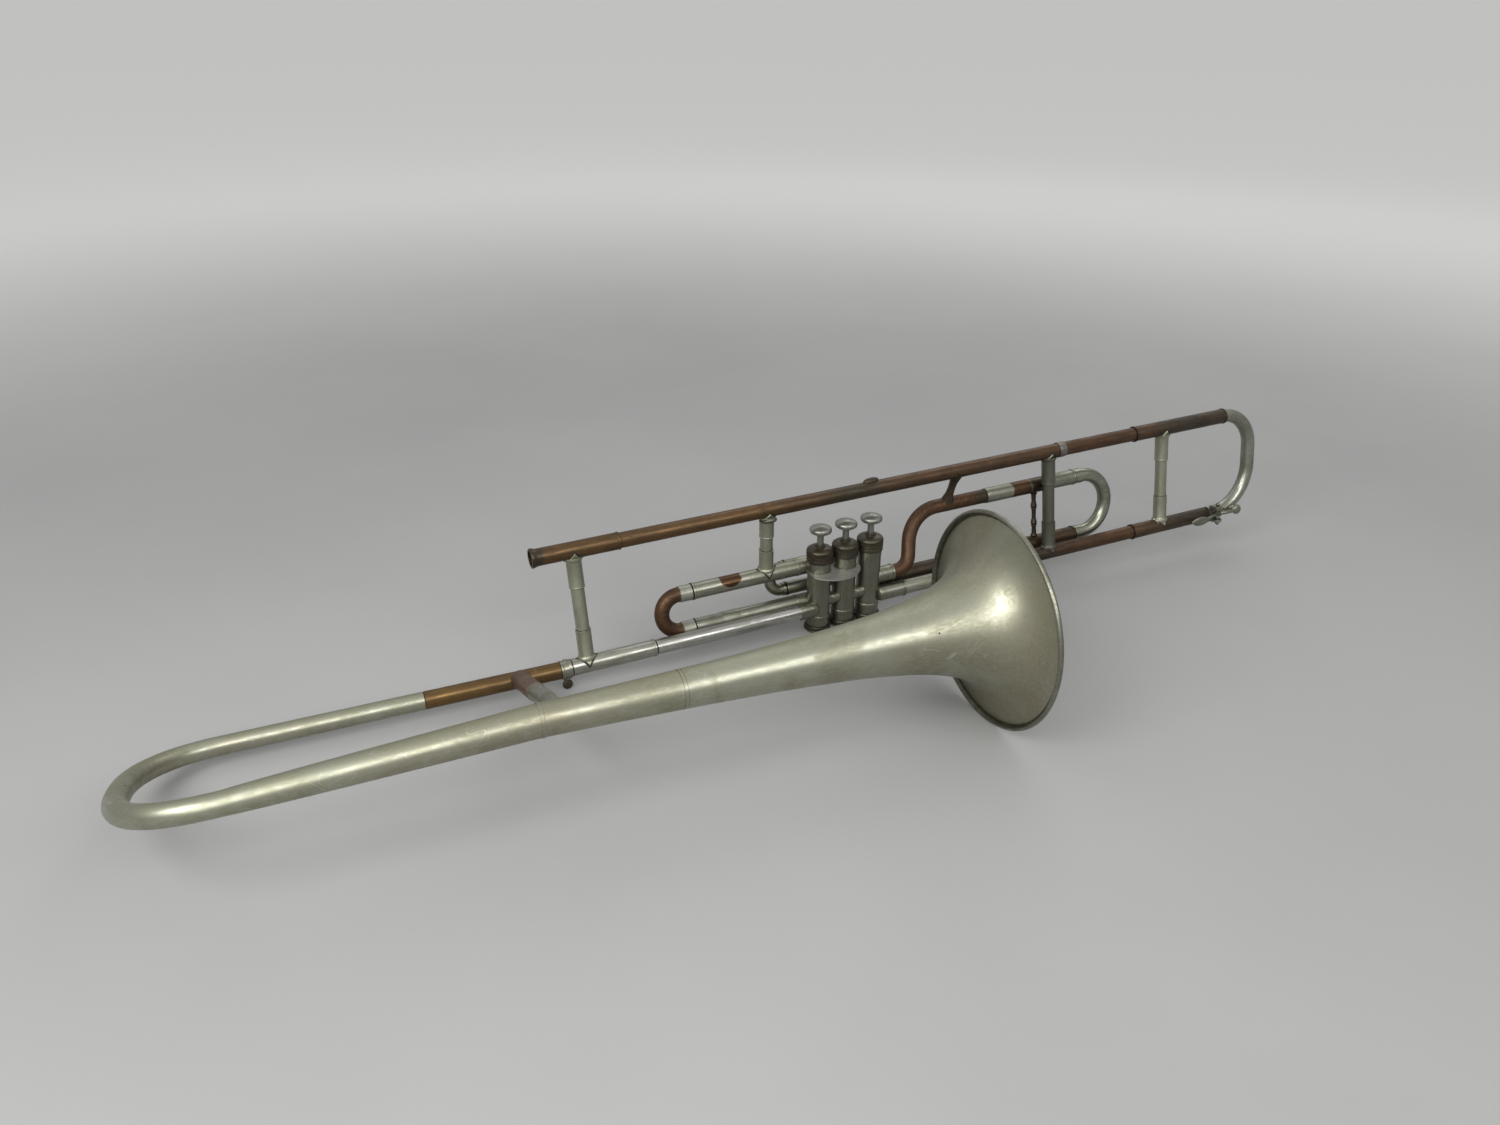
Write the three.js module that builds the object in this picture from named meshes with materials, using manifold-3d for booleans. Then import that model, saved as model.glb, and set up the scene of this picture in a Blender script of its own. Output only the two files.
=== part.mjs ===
import * as THREE from 'three';
import { mergeVertices } from 'three/addons/utils/BufferGeometryUtils.js';
import Module from 'manifold-3d';

// A valve trombone lying on its side: it rests on the foot of its first valve, the rim of its bell
// and the knob of the bell's clamp screw. Lengths are millimetres and +Z is up. The slide tubes run
// along X with the front bow at +X, and the bell is at -Y.
// Slide frame: origin where the first valve meets the line of the main tube, x along the tubes,
// y to the back and z from the lower tube to the upper one.

// How the slide lies
const riseAngle = THREE.MathUtils.degToRad(1.76);
const leanAngle = THREE.MathUtils.degToRad(8.76);
const mainHeight = 22.9;

// Tube stock
const tubeDia = 12.0;
const tubeWall = 0.45;
const slideGap = 0.15;
const seam = 0.3;
const overrun = 40.0;
const smallTubeDia = 9.8;
const tubeR = tubeDia / 2;
const sleeveBore = tubeR + slideGap;
const sleeveR = sleeveBore + tubeWall;
const smallR = smallTubeDia / 2;
const smallSleeveR = smallR + slideGap + tubeWall;

// Facets
const tubeSides = 12;
const valveSides = 20;
const bellSides = 36;
const bendSteps = 4;

// Joining and cutting closed meshes
const wasm = await Module();
wasm.setup();

function volumeOf(geometry) {
  const p = geometry.attributes.position;
  const index = geometry.index.array;
  const a = new THREE.Vector3();
  const b = new THREE.Vector3();
  const c = new THREE.Vector3();
  let sum = 0;
  for (let i = 0; i < index.length; i += 3) {
    a.fromBufferAttribute(p, index[i]);
    b.fromBufferAttribute(p, index[i + 1]);
    c.fromBufferAttribute(p, index[i + 2]);
    sum += a.dot(b.cross(c));
  }
  return sum;
}

// Welds a geometry, drops triangles of no area at its poles and turns it outside out
function welded(source) {
  const plain = source.clone();
  for (const name of Object.keys(plain.attributes)) {
    if (name !== 'position') plain.deleteAttribute(name);
  }
  const geometry = mergeVertices(plain);
  const kept = [];
  const index = geometry.index.array;
  for (let i = 0; i < index.length; i += 3) {
    const [a, b, c] = [index[i], index[i + 1], index[i + 2]];
    if (a !== b && b !== c && c !== a) kept.push(a, b, c);
  }
  geometry.setIndex(kept);
  if (volumeOf(geometry) < 0) {
    for (let i = 0; i < kept.length; i += 3) [kept[i], kept[i + 1]] = [kept[i + 1], kept[i]];
    geometry.setIndex(kept);
  }
  return geometry;
}

function solid(geometry) {
  const g = welded(geometry);
  return new wasm.Manifold(new wasm.Mesh({
    numProp: 3,
    vertProperties: new Float32Array(g.attributes.position.array),
    triVerts: new Uint32Array(g.index.array),
  }));
}

function shape(body) {
  const mesh = body.getMesh();
  const geometry = new THREE.BufferGeometry();
  const places = new Float32Array(3 * mesh.numVert);
  for (let i = 0; i < mesh.numVert; i += 1) {
    for (let k = 0; k < 3; k += 1) places[3 * i + k] = mesh.vertProperties[mesh.numProp * i + k];
  }
  geometry.setAttribute('position', new THREE.BufferAttribute(places, 3));
  geometry.setIndex([...mesh.triVerts]);
  return geometry;
}

function cut(body, ...tools) {
  return shape(tools.reduce((left, tool) => left.subtract(solid(tool)), solid(body)));
}

function joined(...bodies) {
  return shape(bodies.slice(1).reduce((sum, body) => sum.add(solid(body)), solid(bodies[0])));
}

function common(body, other) {
  return shape(solid(body).intersect(solid(other)));
}

const at = (x, y, z) => new THREE.Vector3(x, y, z);

// A line of points whose corners are rounded to the radii given for them
function route(corners, radii, steps = bendSteps) {
  const line = [corners[0].clone()];
  for (let i = 1; i < corners.length - 1; i += 1) {
    const inward = corners[i - 1].clone().sub(corners[i]).normalize();
    const outward = corners[i + 1].clone().sub(corners[i]).normalize();
    const half = inward.angleTo(outward) / 2;
    const reach = radii[i - 1] / Math.tan(half);
    const centre = corners[i].clone()
      .add(inward.clone().add(outward).normalize().multiplyScalar(radii[i - 1] / Math.sin(half)));
    const from = corners[i].clone().addScaledVector(inward, reach).sub(centre);
    const to = corners[i].clone().addScaledVector(outward, reach).sub(centre);
    const turn = from.angleTo(to);
    const count = Math.max(2, Math.round(steps * turn / (Math.PI / 2)));
    const spin = new THREE.Vector3().crossVectors(from, to).normalize();
    for (let k = 0; k <= count; k += 1) {
      line.push(from.clone().applyAxisAngle(spin, turn * k / count).add(centre));
    }
  }
  line.push(corners[corners.length - 1].clone());
  return line;
}

// A tube along a line of points. The radius is one number or one for each point. With no wall it is
// a solid rod. A stretch widens the section across and up.
function pipe(line, radius, wall = 0, sides = tubeSides, hint = at(0, 1, 0), stretch = [1, 1]) {
  const rings = line.length;
  const places = [];
  const index = [];
  const first = line[1].clone().sub(line[0]).normalize();
  let across = Math.abs(first.dot(hint)) < 0.9 ? hint.clone() : at(0, 0, 1);
  const skins = wall ? 2 : 1;
  for (let i = 0; i < rings; i += 1) {
    const back = line[Math.max(i - 1, 0)];
    const next = line[Math.min(i + 1, rings - 1)];
    const along = next.clone().sub(back).normalize();
    across = across.addScaledVector(along, -across.dot(along)).normalize();
    const up = new THREE.Vector3().crossVectors(along, across);
    const outer = Array.isArray(radius) ? radius[i] : radius;
    for (let s = 0; s < skins; s += 1) {
      for (let k = 0; k < sides; k += 1) {
        const turn = 2 * Math.PI * k / sides;
        const r = s ? outer - wall : outer;
        const p = line[i].clone()
          .addScaledVector(across, stretch[0] * r * Math.cos(turn))
          .addScaledVector(up, stretch[1] * r * Math.sin(turn));
        places.push(p.x, p.y, p.z);
      }
    }
  }
  const id = (i, s, k) => (i * skins + s) * sides + k % sides;
  for (let i = 0; i < rings - 1; i += 1) {
    for (let s = 0; s < skins; s += 1) {
      for (let k = 0; k < sides; k += 1) {
        const quad = [id(i, s, k), id(i, s, k + 1), id(i + 1, s, k + 1), id(i + 1, s, k)];
        if (s) quad.reverse();
        index.push(quad[0], quad[1], quad[2], quad[0], quad[2], quad[3]);
      }
    }
  }
  for (const i of [0, rings - 1]) {
    const start = i === 0;
    if (wall) {
      for (let k = 0; k < sides; k += 1) {
        const quad = [id(i, 0, k), id(i, 1, k), id(i, 1, k + 1), id(i, 0, k + 1)];
        if (!start) quad.reverse();
        index.push(quad[0], quad[1], quad[2], quad[0], quad[2], quad[3]);
      }
    } else {
      const centre = places.length / 3;
      places.push(line[i].x, line[i].y, line[i].z);
      for (let k = 0; k < sides; k += 1) {
        if (start) index.push(centre, id(i, 0, k + 1), id(i, 0, k));
        else index.push(centre, id(i, 0, k), id(i, 0, k + 1));
      }
    }
  }
  const geometry = new THREE.BufferGeometry();
  geometry.setAttribute('position', new THREE.BufferAttribute(new Float32Array(places), 3));
  geometry.setIndex(index);
  return geometry;
}

const rod = (a, b, radius, sides, hint, stretch) => pipe([a, b], radius, 0, sides, hint, stretch);

// A turned piece: pairs of a place along the axis and a radius, closed on itself or on the axis
function turned(profile, sides) {
  const points = profile.map(([along, r]) => new THREE.Vector2(r, along));
  return new THREE.LatheGeometry(points, sides);
}

const turnedAlongX = (profile, sides = tubeSides) => turned(profile, sides).rotateZ(-Math.PI / 2);
const turnedAlongZ = (profile, sides = valveSides) => turned(profile, sides).rotateX(Math.PI / 2);

// Round outlines: the points of an arc from one angle to another
function arc(along, r, radius, from, to, steps) {
  const points = [];
  for (let k = 0; k <= steps; k += 1) {
    const turn = from + (to - from) * k / steps;
    points.push([along + radius * Math.cos(turn), r + radius * Math.sin(turn)]);
  }
  return points;
}

// From the slide frame to the floor
const slideRest = new THREE.Matrix4().makeTranslation(0, 0, mainHeight)
  .multiply(new THREE.Matrix4().makeRotationY(-riseAngle))
  .multiply(new THREE.Matrix4().makeRotationX(-leanAngle));
const laid = (geometry) => geometry.applyMatrix4(slideRest);
const onFloor = (point) => point.clone().applyMatrix4(slideRest);
const inSlide = (point) => point.clone().applyMatrix4(slideRest.clone().invert());

// Finishes
const finish = {
  nickel: [0x9a9c8a, 0.38, 0.9],
  copper: [0x7d4c30, 0.45, 0.8],
  brown: [0x4a3a30, 0.6, 0.6],
  felt: [0x5b4636, 0.95, 0],
  steel: [0x777570, 0.45, 0.9],
  cork: [0x9a7a52, 0.9, 0],
};
const trombone = new THREE.Group();

function piece(name, geometry, look) {
  const [color, roughness, metalness] = finish[look];
  const surface = new THREE.MeshStandardMaterial({ color, roughness, metalness });
  const mesh = new THREE.Mesh(welded(geometry), surface);
  mesh.name = name;
  trombone.add(mesh);
  return mesh;
}

// Three piston valves in a row, upright on their feet
const valvePitch = 23.2;
const valveBack = 7.0;
const valveStep = 1.0;
const casingDia = 19.5;
const casingWall = 0.75;
const casingFoot = 2.4;
const casingTop = 69.8;
const casingR = casingDia / 2;
const casingBore = casingR - casingWall;
const valves = [0, 1, 2].map((k) => {
  const foot = onFloor(at(k * valvePitch, valveBack, 0));
  return at(foot.x, foot.y, k * valveStep);
});
const stood = (geometry, k) => geometry.translate(valves[k].x, valves[k].y, valves[k].z);
const casingCutter = (k) => rod(
  at(valves[k].x, valves[k].y, -overrun),
  at(valves[k].x, valves[k].y, casingTop + overrun),
  casingR + seam,
  valveSides,
);
// Where a height above the valve's foot lies in the slide frame
const valveAxis = (k, height) => inSlide(at(valves[k].x, valves[k].y, height));

// Tubes that meet the valves, as lines in the slide frame
const slideSpan = 91.7;
const firstBack = 13.0;
const firstUpper = 33.8;
const firstLower = 3.7;
const firstElbowR = 7.2;
const secondBack = 24.8;
const secondUpper = 32.4;
const secondLower = 13.4;
const secondElbowR = 9.0;
const thirdBack = 14.0;
const thirdUpper = 59.7;
const thirdLower = 6.5;
const sFootBack = 2.6;
const sFootUp = 15.4;
const knuckleBack = 3.0;
const knuckleUp = 5.0;
const knuckleDia = 9.8;
const knuckleR = knuckleDia / 2;
const valve2 = valvePitch;
const valve3 = 2 * valvePitch;

// Stubs soldered to the casings, each with the bore that runs through it. They end in a ball on the
// face of the casing that they meet.
const ballSteps = 3;
const mainStubStart = -20.4;
const lowerStubEnd = 77.2;
const sStubEnd = 68.4;
const stubReach = 10.4;
const stubDome = 3.6;
const boreR = tubeR - tubeWall;
const smallBoreR = smallR - tubeWall;
const knuckleBoreR = knuckleR - tubeWall;
const domeArc = (x0, x1, r, deep) => arc(0, 0, 1, Math.PI / 2, x1 > x0 ? 0 : Math.PI, ballSteps)
  .map(([along, out]) => [x1 + deep * along, r * out]);
const domed = (x0, x1, r, deep, y, z) => laid(turnedAlongX([
  [x0, 0],
  [x0, r],
  ...domeArc(x0, x1, r, deep),
]).translate(0, y, z));
const domedTube = (x0, x1, r, deep, y, z) => laid(turnedAlongX([
  [x0, r - tubeWall],
  [x0, r],
  ...domeArc(x0, x1, r, deep),
  ...domeArc(x0, x1, r - tubeWall, deep - tubeWall).reverse(),
  [x0, r - tubeWall],
]).translate(0, y, z));
const stub = (x0, x1, r, bore, deep, y, z) => [
  domed(x0, x1, r, deep, y, z),
  domed(x0 + (x0 > x1 ? overrun : -overrun), x1, bore, deep - r + bore, y, z),
];
const knuckle = (k) => [knuckleR, knuckleBoreR].map((r) => domed(
  k * valvePitch,
  (k + 1) * valvePitch - casingR + knuckleR / 2,
  r,
  r,
  knuckleBack,
  knuckleUp,
));
const stubs = [
  [stub(mainStubStart, -casingR + sleeveR / 2, sleeveR, sleeveBore, sleeveR, 0, 0), knuckle(0)],
  [knuckle(1)],
  [
    stub(lowerStubEnd, valve3 + stubReach, sleeveR, sleeveBore, stubDome, 0, 0),
    stub(sStubEnd, valve3 + stubReach, sleeveR, sleeveBore, stubDome, sFootBack, sFootUp),
  ],
];
const inward = (k, y, up, r) => laid(rod(at(k * valvePitch, y, up), at(k * valvePitch, 0, up), r, tubeSides));
const ports = [
  [
    laid(rod(at(-2 * casingR, firstBack, firstLower), at(0, firstBack, firstLower), boreR, tubeSides)),
    inward(0, 2 * casingR, firstUpper, boreR),
  ],
  [
    knuckle(0)[1],
    inward(1, 2 * casingR, secondUpper, smallBoreR),
    inward(1, 2 * casingR, secondLower, smallBoreR),
  ],
  [
    knuckle(1)[1],
    laid(rod(
      at(valve3, thirdBack, thirdLower),
      at(valve3 + 2 * casingR, thirdBack, thirdLower),
      boreR,
      tubeSides,
    )),
  ],
];
const bores = ports.map((list, k) => [...list, ...stubs[k].map(([, bore]) => bore)]);

const topCapDia = 22.0;
const topCapFoot = 62.6;
const topCapShoulder = 72.0;
const topCapCrown = 75.2;
const topCapNeckTop = 77.0;
const topCapNeckDia = 8.6;
const topCapSkirt = 0.8;
const topCapGrooveDepth = 0.5;
const topCapGrooveUp = 3.4;
const topCapGrooveWide = 1.0;
const stemDia = 5.5;
const stemGap = 0.35;
const bottomCapDia = 22.0;
const bottomCapTall = 5.2;
const bottomCapFloor = 2.0;
const pistonGap = 0.1;
const pistonFoot = 14.8;
const pistonTop = 64.6;
const pistonWall = 0.9;
const collarTop = 67.6;
const collarDia = 12.5;
const feltThick = 1.8;
const feltDia = 12.0;
const buttonDia = 18.2;
const buttonRim = 90.9;
const buttonRimLong = 1.8;
const buttonTop = 93.8;
const buttonUnder = 88.2;
const buttonEdge = 0.6;
const springDia = 14.0;
const springWire = 1.1;
const stemR = stemDia / 2;
const pistonR = casingBore - pistonGap;
const capInner = casingR + seam;

valves.forEach((foot, k) => {
  const n = k + 1;
  const casing = rod(
    at(foot.x, foot.y, foot.z + casingFoot),
    at(foot.x, foot.y, foot.z + casingTop),
    casingR,
    valveSides,
  );
  const casingHollow = rod(
    at(foot.x, foot.y, -overrun),
    at(foot.x, foot.y, 3 * overrun),
    casingBore,
    valveSides,
  );
  const neighbour = k < 2 ? [casingCutter(k + 1)] : [];
  piece(`valve_casing_${n}`, cut(
    joined(casing, ...stubs[k].map(([outside]) => outside)),
    casingHollow,
    ...neighbour,
    ...bores[k],
  ), 'nickel');

  const piston = turnedAlongZ([
    [pistonFoot, pistonR - pistonWall],
    [pistonFoot, pistonR],
    [pistonTop, pistonR],
    [pistonTop, 0],
    [pistonTop - pistonWall, 0],
    [pistonTop - pistonWall, pistonR - pistonWall],
    [pistonFoot, pistonR - pistonWall],
  ]);
  piece(`piston_${n}`, cut(stood(piston, k), ...bores[k]), 'nickel');

  const collarFoot = pistonTop + seam;
  const rimFoot = buttonRim - buttonRimLong / 2;
  const rimHead = buttonRim + buttonRimLong / 2;
  const button = turnedAlongZ([
    [collarFoot, 0],
    [collarFoot, collarDia / 2],
    [collarTop, collarDia / 2],
    [collarTop, stemR],
    [buttonUnder, stemR],
    [rimFoot - buttonEdge, buttonDia / 2 - buttonEdge],
    [rimFoot, buttonDia / 2],
    [rimHead, buttonDia / 2],
    [rimHead + buttonEdge, buttonDia / 2 - buttonEdge],
    [(rimHead + buttonEdge + 2 * buttonTop) / 3, buttonDia / 4],
    [buttonTop, 0],
  ], 14);
  piece(`finger_button_${n}`, stood(button, k), 'nickel');

  const felt = turnedAlongZ([
    [collarTop + seam, stemR + stemGap],
    [collarTop + seam, feltDia / 2],
    [collarTop + seam + feltThick, feltDia / 2],
    [collarTop + seam + feltThick, stemR + stemGap],
    [collarTop + seam, stemR + stemGap],
  ], 16);
  piece(`stem_felt_${n}`, stood(felt, k), 'felt');

  const spring = turnedAlongZ([
    [bottomCapFloor + seam, springDia / 2 - springWire],
    [bottomCapFloor + seam, springDia / 2],
    [pistonFoot - seam, springDia / 2],
    [pistonFoot - seam, springDia / 2 - springWire],
    [bottomCapFloor + seam, springDia / 2 - springWire],
  ], 16);
  piece(`piston_spring_${n}`, stood(spring, k), 'steel');
});

function topCap() {
  const r = topCapDia / 2;
  const grooveFoot = topCapFoot + topCapGrooveUp;
  return turnedAlongZ([
    [topCapFoot, capInner],
    [topCapFoot, r],
    [grooveFoot, r],
    [grooveFoot, r - topCapGrooveDepth],
    [grooveFoot + topCapGrooveWide, r - topCapGrooveDepth],
    [grooveFoot + topCapGrooveWide, r],
    [topCapShoulder, r],
    [topCapShoulder + (topCapCrown - topCapShoulder) / 2, r - (r - topCapNeckDia / 2) / 4],
    [topCapCrown, topCapNeckDia / 2 + topCapSkirt],
    [topCapCrown, topCapNeckDia / 2],
    [topCapNeckTop, topCapNeckDia / 2],
    [topCapNeckTop, stemR + stemGap],
    [topCapShoulder, stemR + stemGap],
    [topCapShoulder - topCapSkirt / 2, capInner - topCapSkirt],
    [casingTop + seam, capInner],
    [topCapFoot, capInner],
  ]);
}

function bottomCap() {
  const r = bottomCapDia / 2;
  return turnedAlongZ([
    [0, 0],
    [0, r - topCapSkirt],
    [topCapSkirt, r],
    [bottomCapTall, r],
    [bottomCapTall, capInner],
    [bottomCapFloor, capInner],
    [bottomCapFloor, 0],
  ]);
}
valves.forEach((foot, k) => {
  piece(`top_cap_${k + 1}`, stood(topCap(), k), 'brown');
  piece(`bottom_cap_${k + 1}`, stood(bottomCap(), k), 'brown');
});

// A thin plate soldered round the front of the first two casings
const plateUp = 53.4;
const plateThick = 1.2;
const plateHalfWide = 24.6;
const plateReach = 23.4;
const plateShift = 1.0;
const plateBackReach = 2.5;
const plateLeftReach = 21.8;
const plateSides = 36;
const plateMid = valves[0].clone().add(valves[1]).multiplyScalar(0.5);
const plateDisc = turnedAlongZ([
  [plateUp, 0],
  [plateUp, 1],
  [plateUp + plateThick, 1],
  [plateUp + plateThick, 0],
], plateSides).scale(plateHalfWide, plateReach, 1).translate(plateMid.x - plateShift, plateMid.y, 0);
const behind = rod(
  at(plateMid.x, plateMid.y + plateBackReach, plateUp),
  at(plateMid.x, plateMid.y + plateBackReach + overrun, plateUp),
  2 * overrun,
  4,
  at(0, 0, 1),
);
const leftward = rod(
  at(plateMid.x - plateLeftReach, plateMid.y, plateUp),
  at(plateMid.x - plateLeftReach - overrun, plateMid.y, plateUp),
  2 * overrun,
  4,
  at(0, 0, 1),
);
piece('hand_plate', cut(plateDisc, casingCutter(0), casingCutter(1), behind, leftward), 'nickel');

// Stations along the slide
const receiverStart = -232.6;
const receiverRing = -164.3;
const collarStart = -222.4;
const jointRing = -214.0;
const mainSleeveRing = -146.1;
const leftStayAt = -200.8;
const secondStayAt = -41.9;
const middleStayAt = 226.9;
const bowReach = 455.6;
const upperSleeveLong = 136.5;
const lowerSleeveLong = 136.9;
const frontStayBack = 103.7;
const frontStayAt = bowReach - frontStayBack;
const upperRing = bowReach - upperSleeveLong;
const lowerRing = bowReach - lowerSleeveLong;
const innerLegShare = 0.605;
const bowUpperR = 33.0;
const bowLowerR = 42.0;

// Receiver for the mouthpiece, and the two long tubes
const receiverDepth = 40.0;
const receiverMouth = 5.8;
const receiverTaper = 0.5;
const receiverLip = 7.5;
const receiverLipLong = 2.2;
const receiver = turnedAlongX([
  [receiverStart, receiverMouth],
  [receiverStart, receiverLip],
  [receiverStart + receiverLipLong, receiverLip],
  [receiverStart + 2 * receiverLipLong, sleeveR],
  [receiverRing, sleeveR],
  [receiverRing, sleeveBore],
  [receiverStart + receiverDepth, sleeveBore],
  [receiverStart + receiverDepth, receiverMouth - receiverTaper],
  [receiverStart, receiverMouth],
], tubeSides).translate(0, 0, slideSpan);
piece('mouthpiece_receiver', laid(receiver), 'copper');

const straight = (x0, x1, y, z, r, wall = tubeWall) => pipe([at(x0, y, z), at(x1, y, z)], r, wall);
piece('upper_long_tube', laid(straight(
  receiverStart + receiverDepth + seam,
  upperRing + innerLegShare * upperSleeveLong,
  0,
  slideSpan,
  tubeR,
)), 'copper');

const valveSide = casingR + seam;
const stubSocket = 6.0;
piece('lower_long_tube', laid(straight(
  valve3 + valveSide + stubSocket,
  lowerRing + innerLegShare * (lowerSleeveLong - bowLowerR + bowUpperR),
  0,
  0,
  tubeR,
)), 'copper');

const mainTube = straight(mainSleeveRing - stubSocket, -valveSide - stubSocket, 0, 0, tubeR);
piece('main_tube', laid(mainTube), 'nickel');
piece('main_tube_sleeve', laid(straight(jointRing + seam, mainSleeveRing, 0, 0, sleeveR)), 'nickel');

// A repair sleeve on the upper tube and a solder lug on its back
const repairStart = 235.6;
const repairLong = 7.0;
const repairSleeve = straight(repairStart, repairStart + repairLong, 0, slideSpan, sleeveR);
piece('repair_sleeve', laid(repairSleeve), 'nickel');
const lugAt = 52.0;
const lugLong = 15.0;
const lugTall = 3.4;
const lugWide = 6.0;
const lugSides = 12;
const tubeShell = (x0, x1, y, z, r) => rod(at(x0, y, z), at(x1, y, z), r, tubeSides);
const lugBlob = new THREE.SphereGeometry(1, lugSides, lugSides / 2)
  .scale(lugLong / 2, lugWide / 2, lugTall)
  .translate(lugAt, 0, slideSpan + tubeR);
piece('upper_tube_lug', laid(cut(
  lugBlob,
  tubeShell(lugAt - overrun, lugAt + overrun, 0, slideSpan, tubeR + seam),
)), 'brown');

// The S-shaped tube from the third valve up to the third slide
const sRiseAt = 84.0;
const sTopAt = 95.0;
const sFootR = 14.0;
const sTopR = 32.0;
const sEnd = 169.6;
const sLine = route([
  at(sStubEnd + seam, sFootBack, sFootUp),
  at(sRiseAt, sFootBack, sFootUp),
  at(sTopAt, thirdBack, thirdUpper),
  at(sEnd, thirdBack, thirdUpper),
], [sFootR, sTopR]);
piece('s_curve_tube', laid(pipe(sLine, tubeR, tubeWall)), 'copper');

// Slides: fixed outer legs, and a bow with inner legs that draws out of them
const firstRing = -106.9;
const firstFerruleLong = 10.7;
const firstInsert = 40.0;
const secondRing = -20.4;
const secondFerruleLong = 3.2;
const secondInsert = 18.0;
const thirdRing = 263.3;
const thirdFerruleLong = 8.3;
const thirdInsertShare = 0.587;
const thirdInsert = (thirdRing - sEnd) * thirdInsertShare;
const bowSteps = 4;

const elbowSteps = 3;
const elbowLeg = (k, ring, y, up, elbowR, r) => cut(laid(pipe(route([
  at(ring, y, up),
  at(k * valvePitch, y, up),
  at(k * valvePitch, 0, up),
], [elbowR], elbowSteps), r, tubeWall)), casingCutter(k));
piece('first_slide_upper_leg', elbowLeg(0, firstRing, firstBack, firstUpper, firstElbowR, sleeveR), 'nickel');
piece('first_slide_lower_leg', cut(
  laid(straight(firstRing, 0, firstBack, firstLower, sleeveR)),
  casingCutter(0),
), 'nickel');
const secondLeg = (up) => elbowLeg(1, secondRing, secondBack, up, secondElbowR, smallSleeveR);
piece('second_slide_upper_leg', secondLeg(secondUpper), 'nickel');
piece('second_slide_lower_leg', secondLeg(secondLower), 'nickel');
const thirdUpperLeg = straight(sEnd + seam, thirdRing, thirdBack, thirdUpper, sleeveR);
piece('third_slide_upper_leg', laid(thirdUpperLeg), 'nickel');
piece('third_slide_lower_leg', cut(
  domedTube(thirdRing, valve3 + casingR, sleeveR, sleeveR, thirdBack, thirdLower),
  casingCutter(2),
), 'brown');

// A bow with a ferrule and an inner leg on each end. A positive way points to +x.
function slideBow(ring, way, ferrule, insert, y, high, low, r, outer) {
  const turnR = (high - low) / 2;
  const stations = [
    [ring - way * insert, r],
    [ring + way * seam, r],
    [ring + way * 2 * seam, outer],
    [ring + way * (seam + ferrule), outer],
    [ring + way * (2 * seam + ferrule), r],
  ];
  const bend = route([
    at(ring + way * (2 * seam + ferrule), y, high),
    at(ring + way * (3 * seam + ferrule + turnR), y, high),
    at(ring + way * (3 * seam + ferrule + turnR), y, low),
    at(ring + way * (2 * seam + ferrule), y, low),
  ], [turnR - seam / 2, turnR - seam / 2], bowSteps).slice(1, -1);
  const line = [
    ...stations.map(([x]) => at(x, y, high)),
    ...bend,
    ...stations.map(([x]) => at(x, y, low)).reverse(),
  ];
  const radii = [
    ...stations.map(([, size]) => size),
    ...bend.map(() => r),
    ...stations.map(([, size]) => size).reverse(),
  ];
  return laid(pipe(line, radii, tubeWall));
}
piece('first_slide_bow', slideBow(
  firstRing, -1, firstFerruleLong, firstInsert, firstBack, firstUpper, firstLower, tubeR, sleeveR), 'copper');
piece('second_slide_bow', slideBow(
  secondRing, -1, secondFerruleLong, secondInsert, secondBack, secondUpper, secondLower, smallR, smallSleeveR), 'nickel');
piece('third_slide_bow', slideBow(
  thirdRing, 1, thirdFerruleLong, thirdInsert, thirdBack, thirdUpper, thirdLower, tubeR, sleeveR), 'nickel');

// Front tuning slide: two sleeves over the long tubes, and a bow
const upperSleeveEnd = bowReach - bowUpperR;
const lowerSleeveEnd = bowReach - bowLowerR;
piece('front_slide_upper_sleeve', laid(straight(upperRing, upperSleeveEnd, 0, slideSpan, sleeveR)), 'brown');
piece('front_slide_lower_sleeve', laid(straight(lowerRing, lowerSleeveEnd, 0, 0, sleeveR)), 'brown');
const frontBowLine = route([
  at(upperSleeveEnd + seam, 0, slideSpan),
  at(bowReach, 0, slideSpan),
  at(bowReach, 0, 0),
  at(lowerSleeveEnd + seam, 0, 0),
], [bowUpperR - 2 * seam, bowLowerR - 2 * seam], 5);
const nippleBack = 21.0;
const nippleAt = bowReach - nippleBack;
const nippleDia = 6.4;
const nippleTall = 2.6;
const nippleUp = 1.8;
const nippleBore = 2.2;
const nippleFace = tubeR + nippleTall;
const nippleSolid = rod(
  at(nippleAt, -boreR, nippleUp),
  at(nippleAt, -nippleFace, nippleUp),
  nippleDia / 2,
  12,
  at(0, 0, 1),
);
const nippleHole = rod(
  at(nippleAt, 0, nippleUp),
  at(nippleAt, -nippleFace - seam, nippleUp),
  nippleBore,
  8,
  at(0, 0, 1),
);
piece('front_bow', laid(cut(joined(pipe(frontBowLine, tubeR, tubeWall), nippleSolid), nippleHole)), 'nickel');

// Stays: a tube in two sockets, whose saddles lie on the tubes that they brace
const stayDia = 10.4;
const staySocketWall = 0.55;
const socketLong = 22.0;
const shortSocketLong = 17.0;
const saddleThick = 0.7;
const saddleHalfLong = 8.0;
const stayR = stayDia / 2;
const socketR = stayR + slideGap + staySocketWall;
const saddleRim = tubeR / 2;

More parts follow.
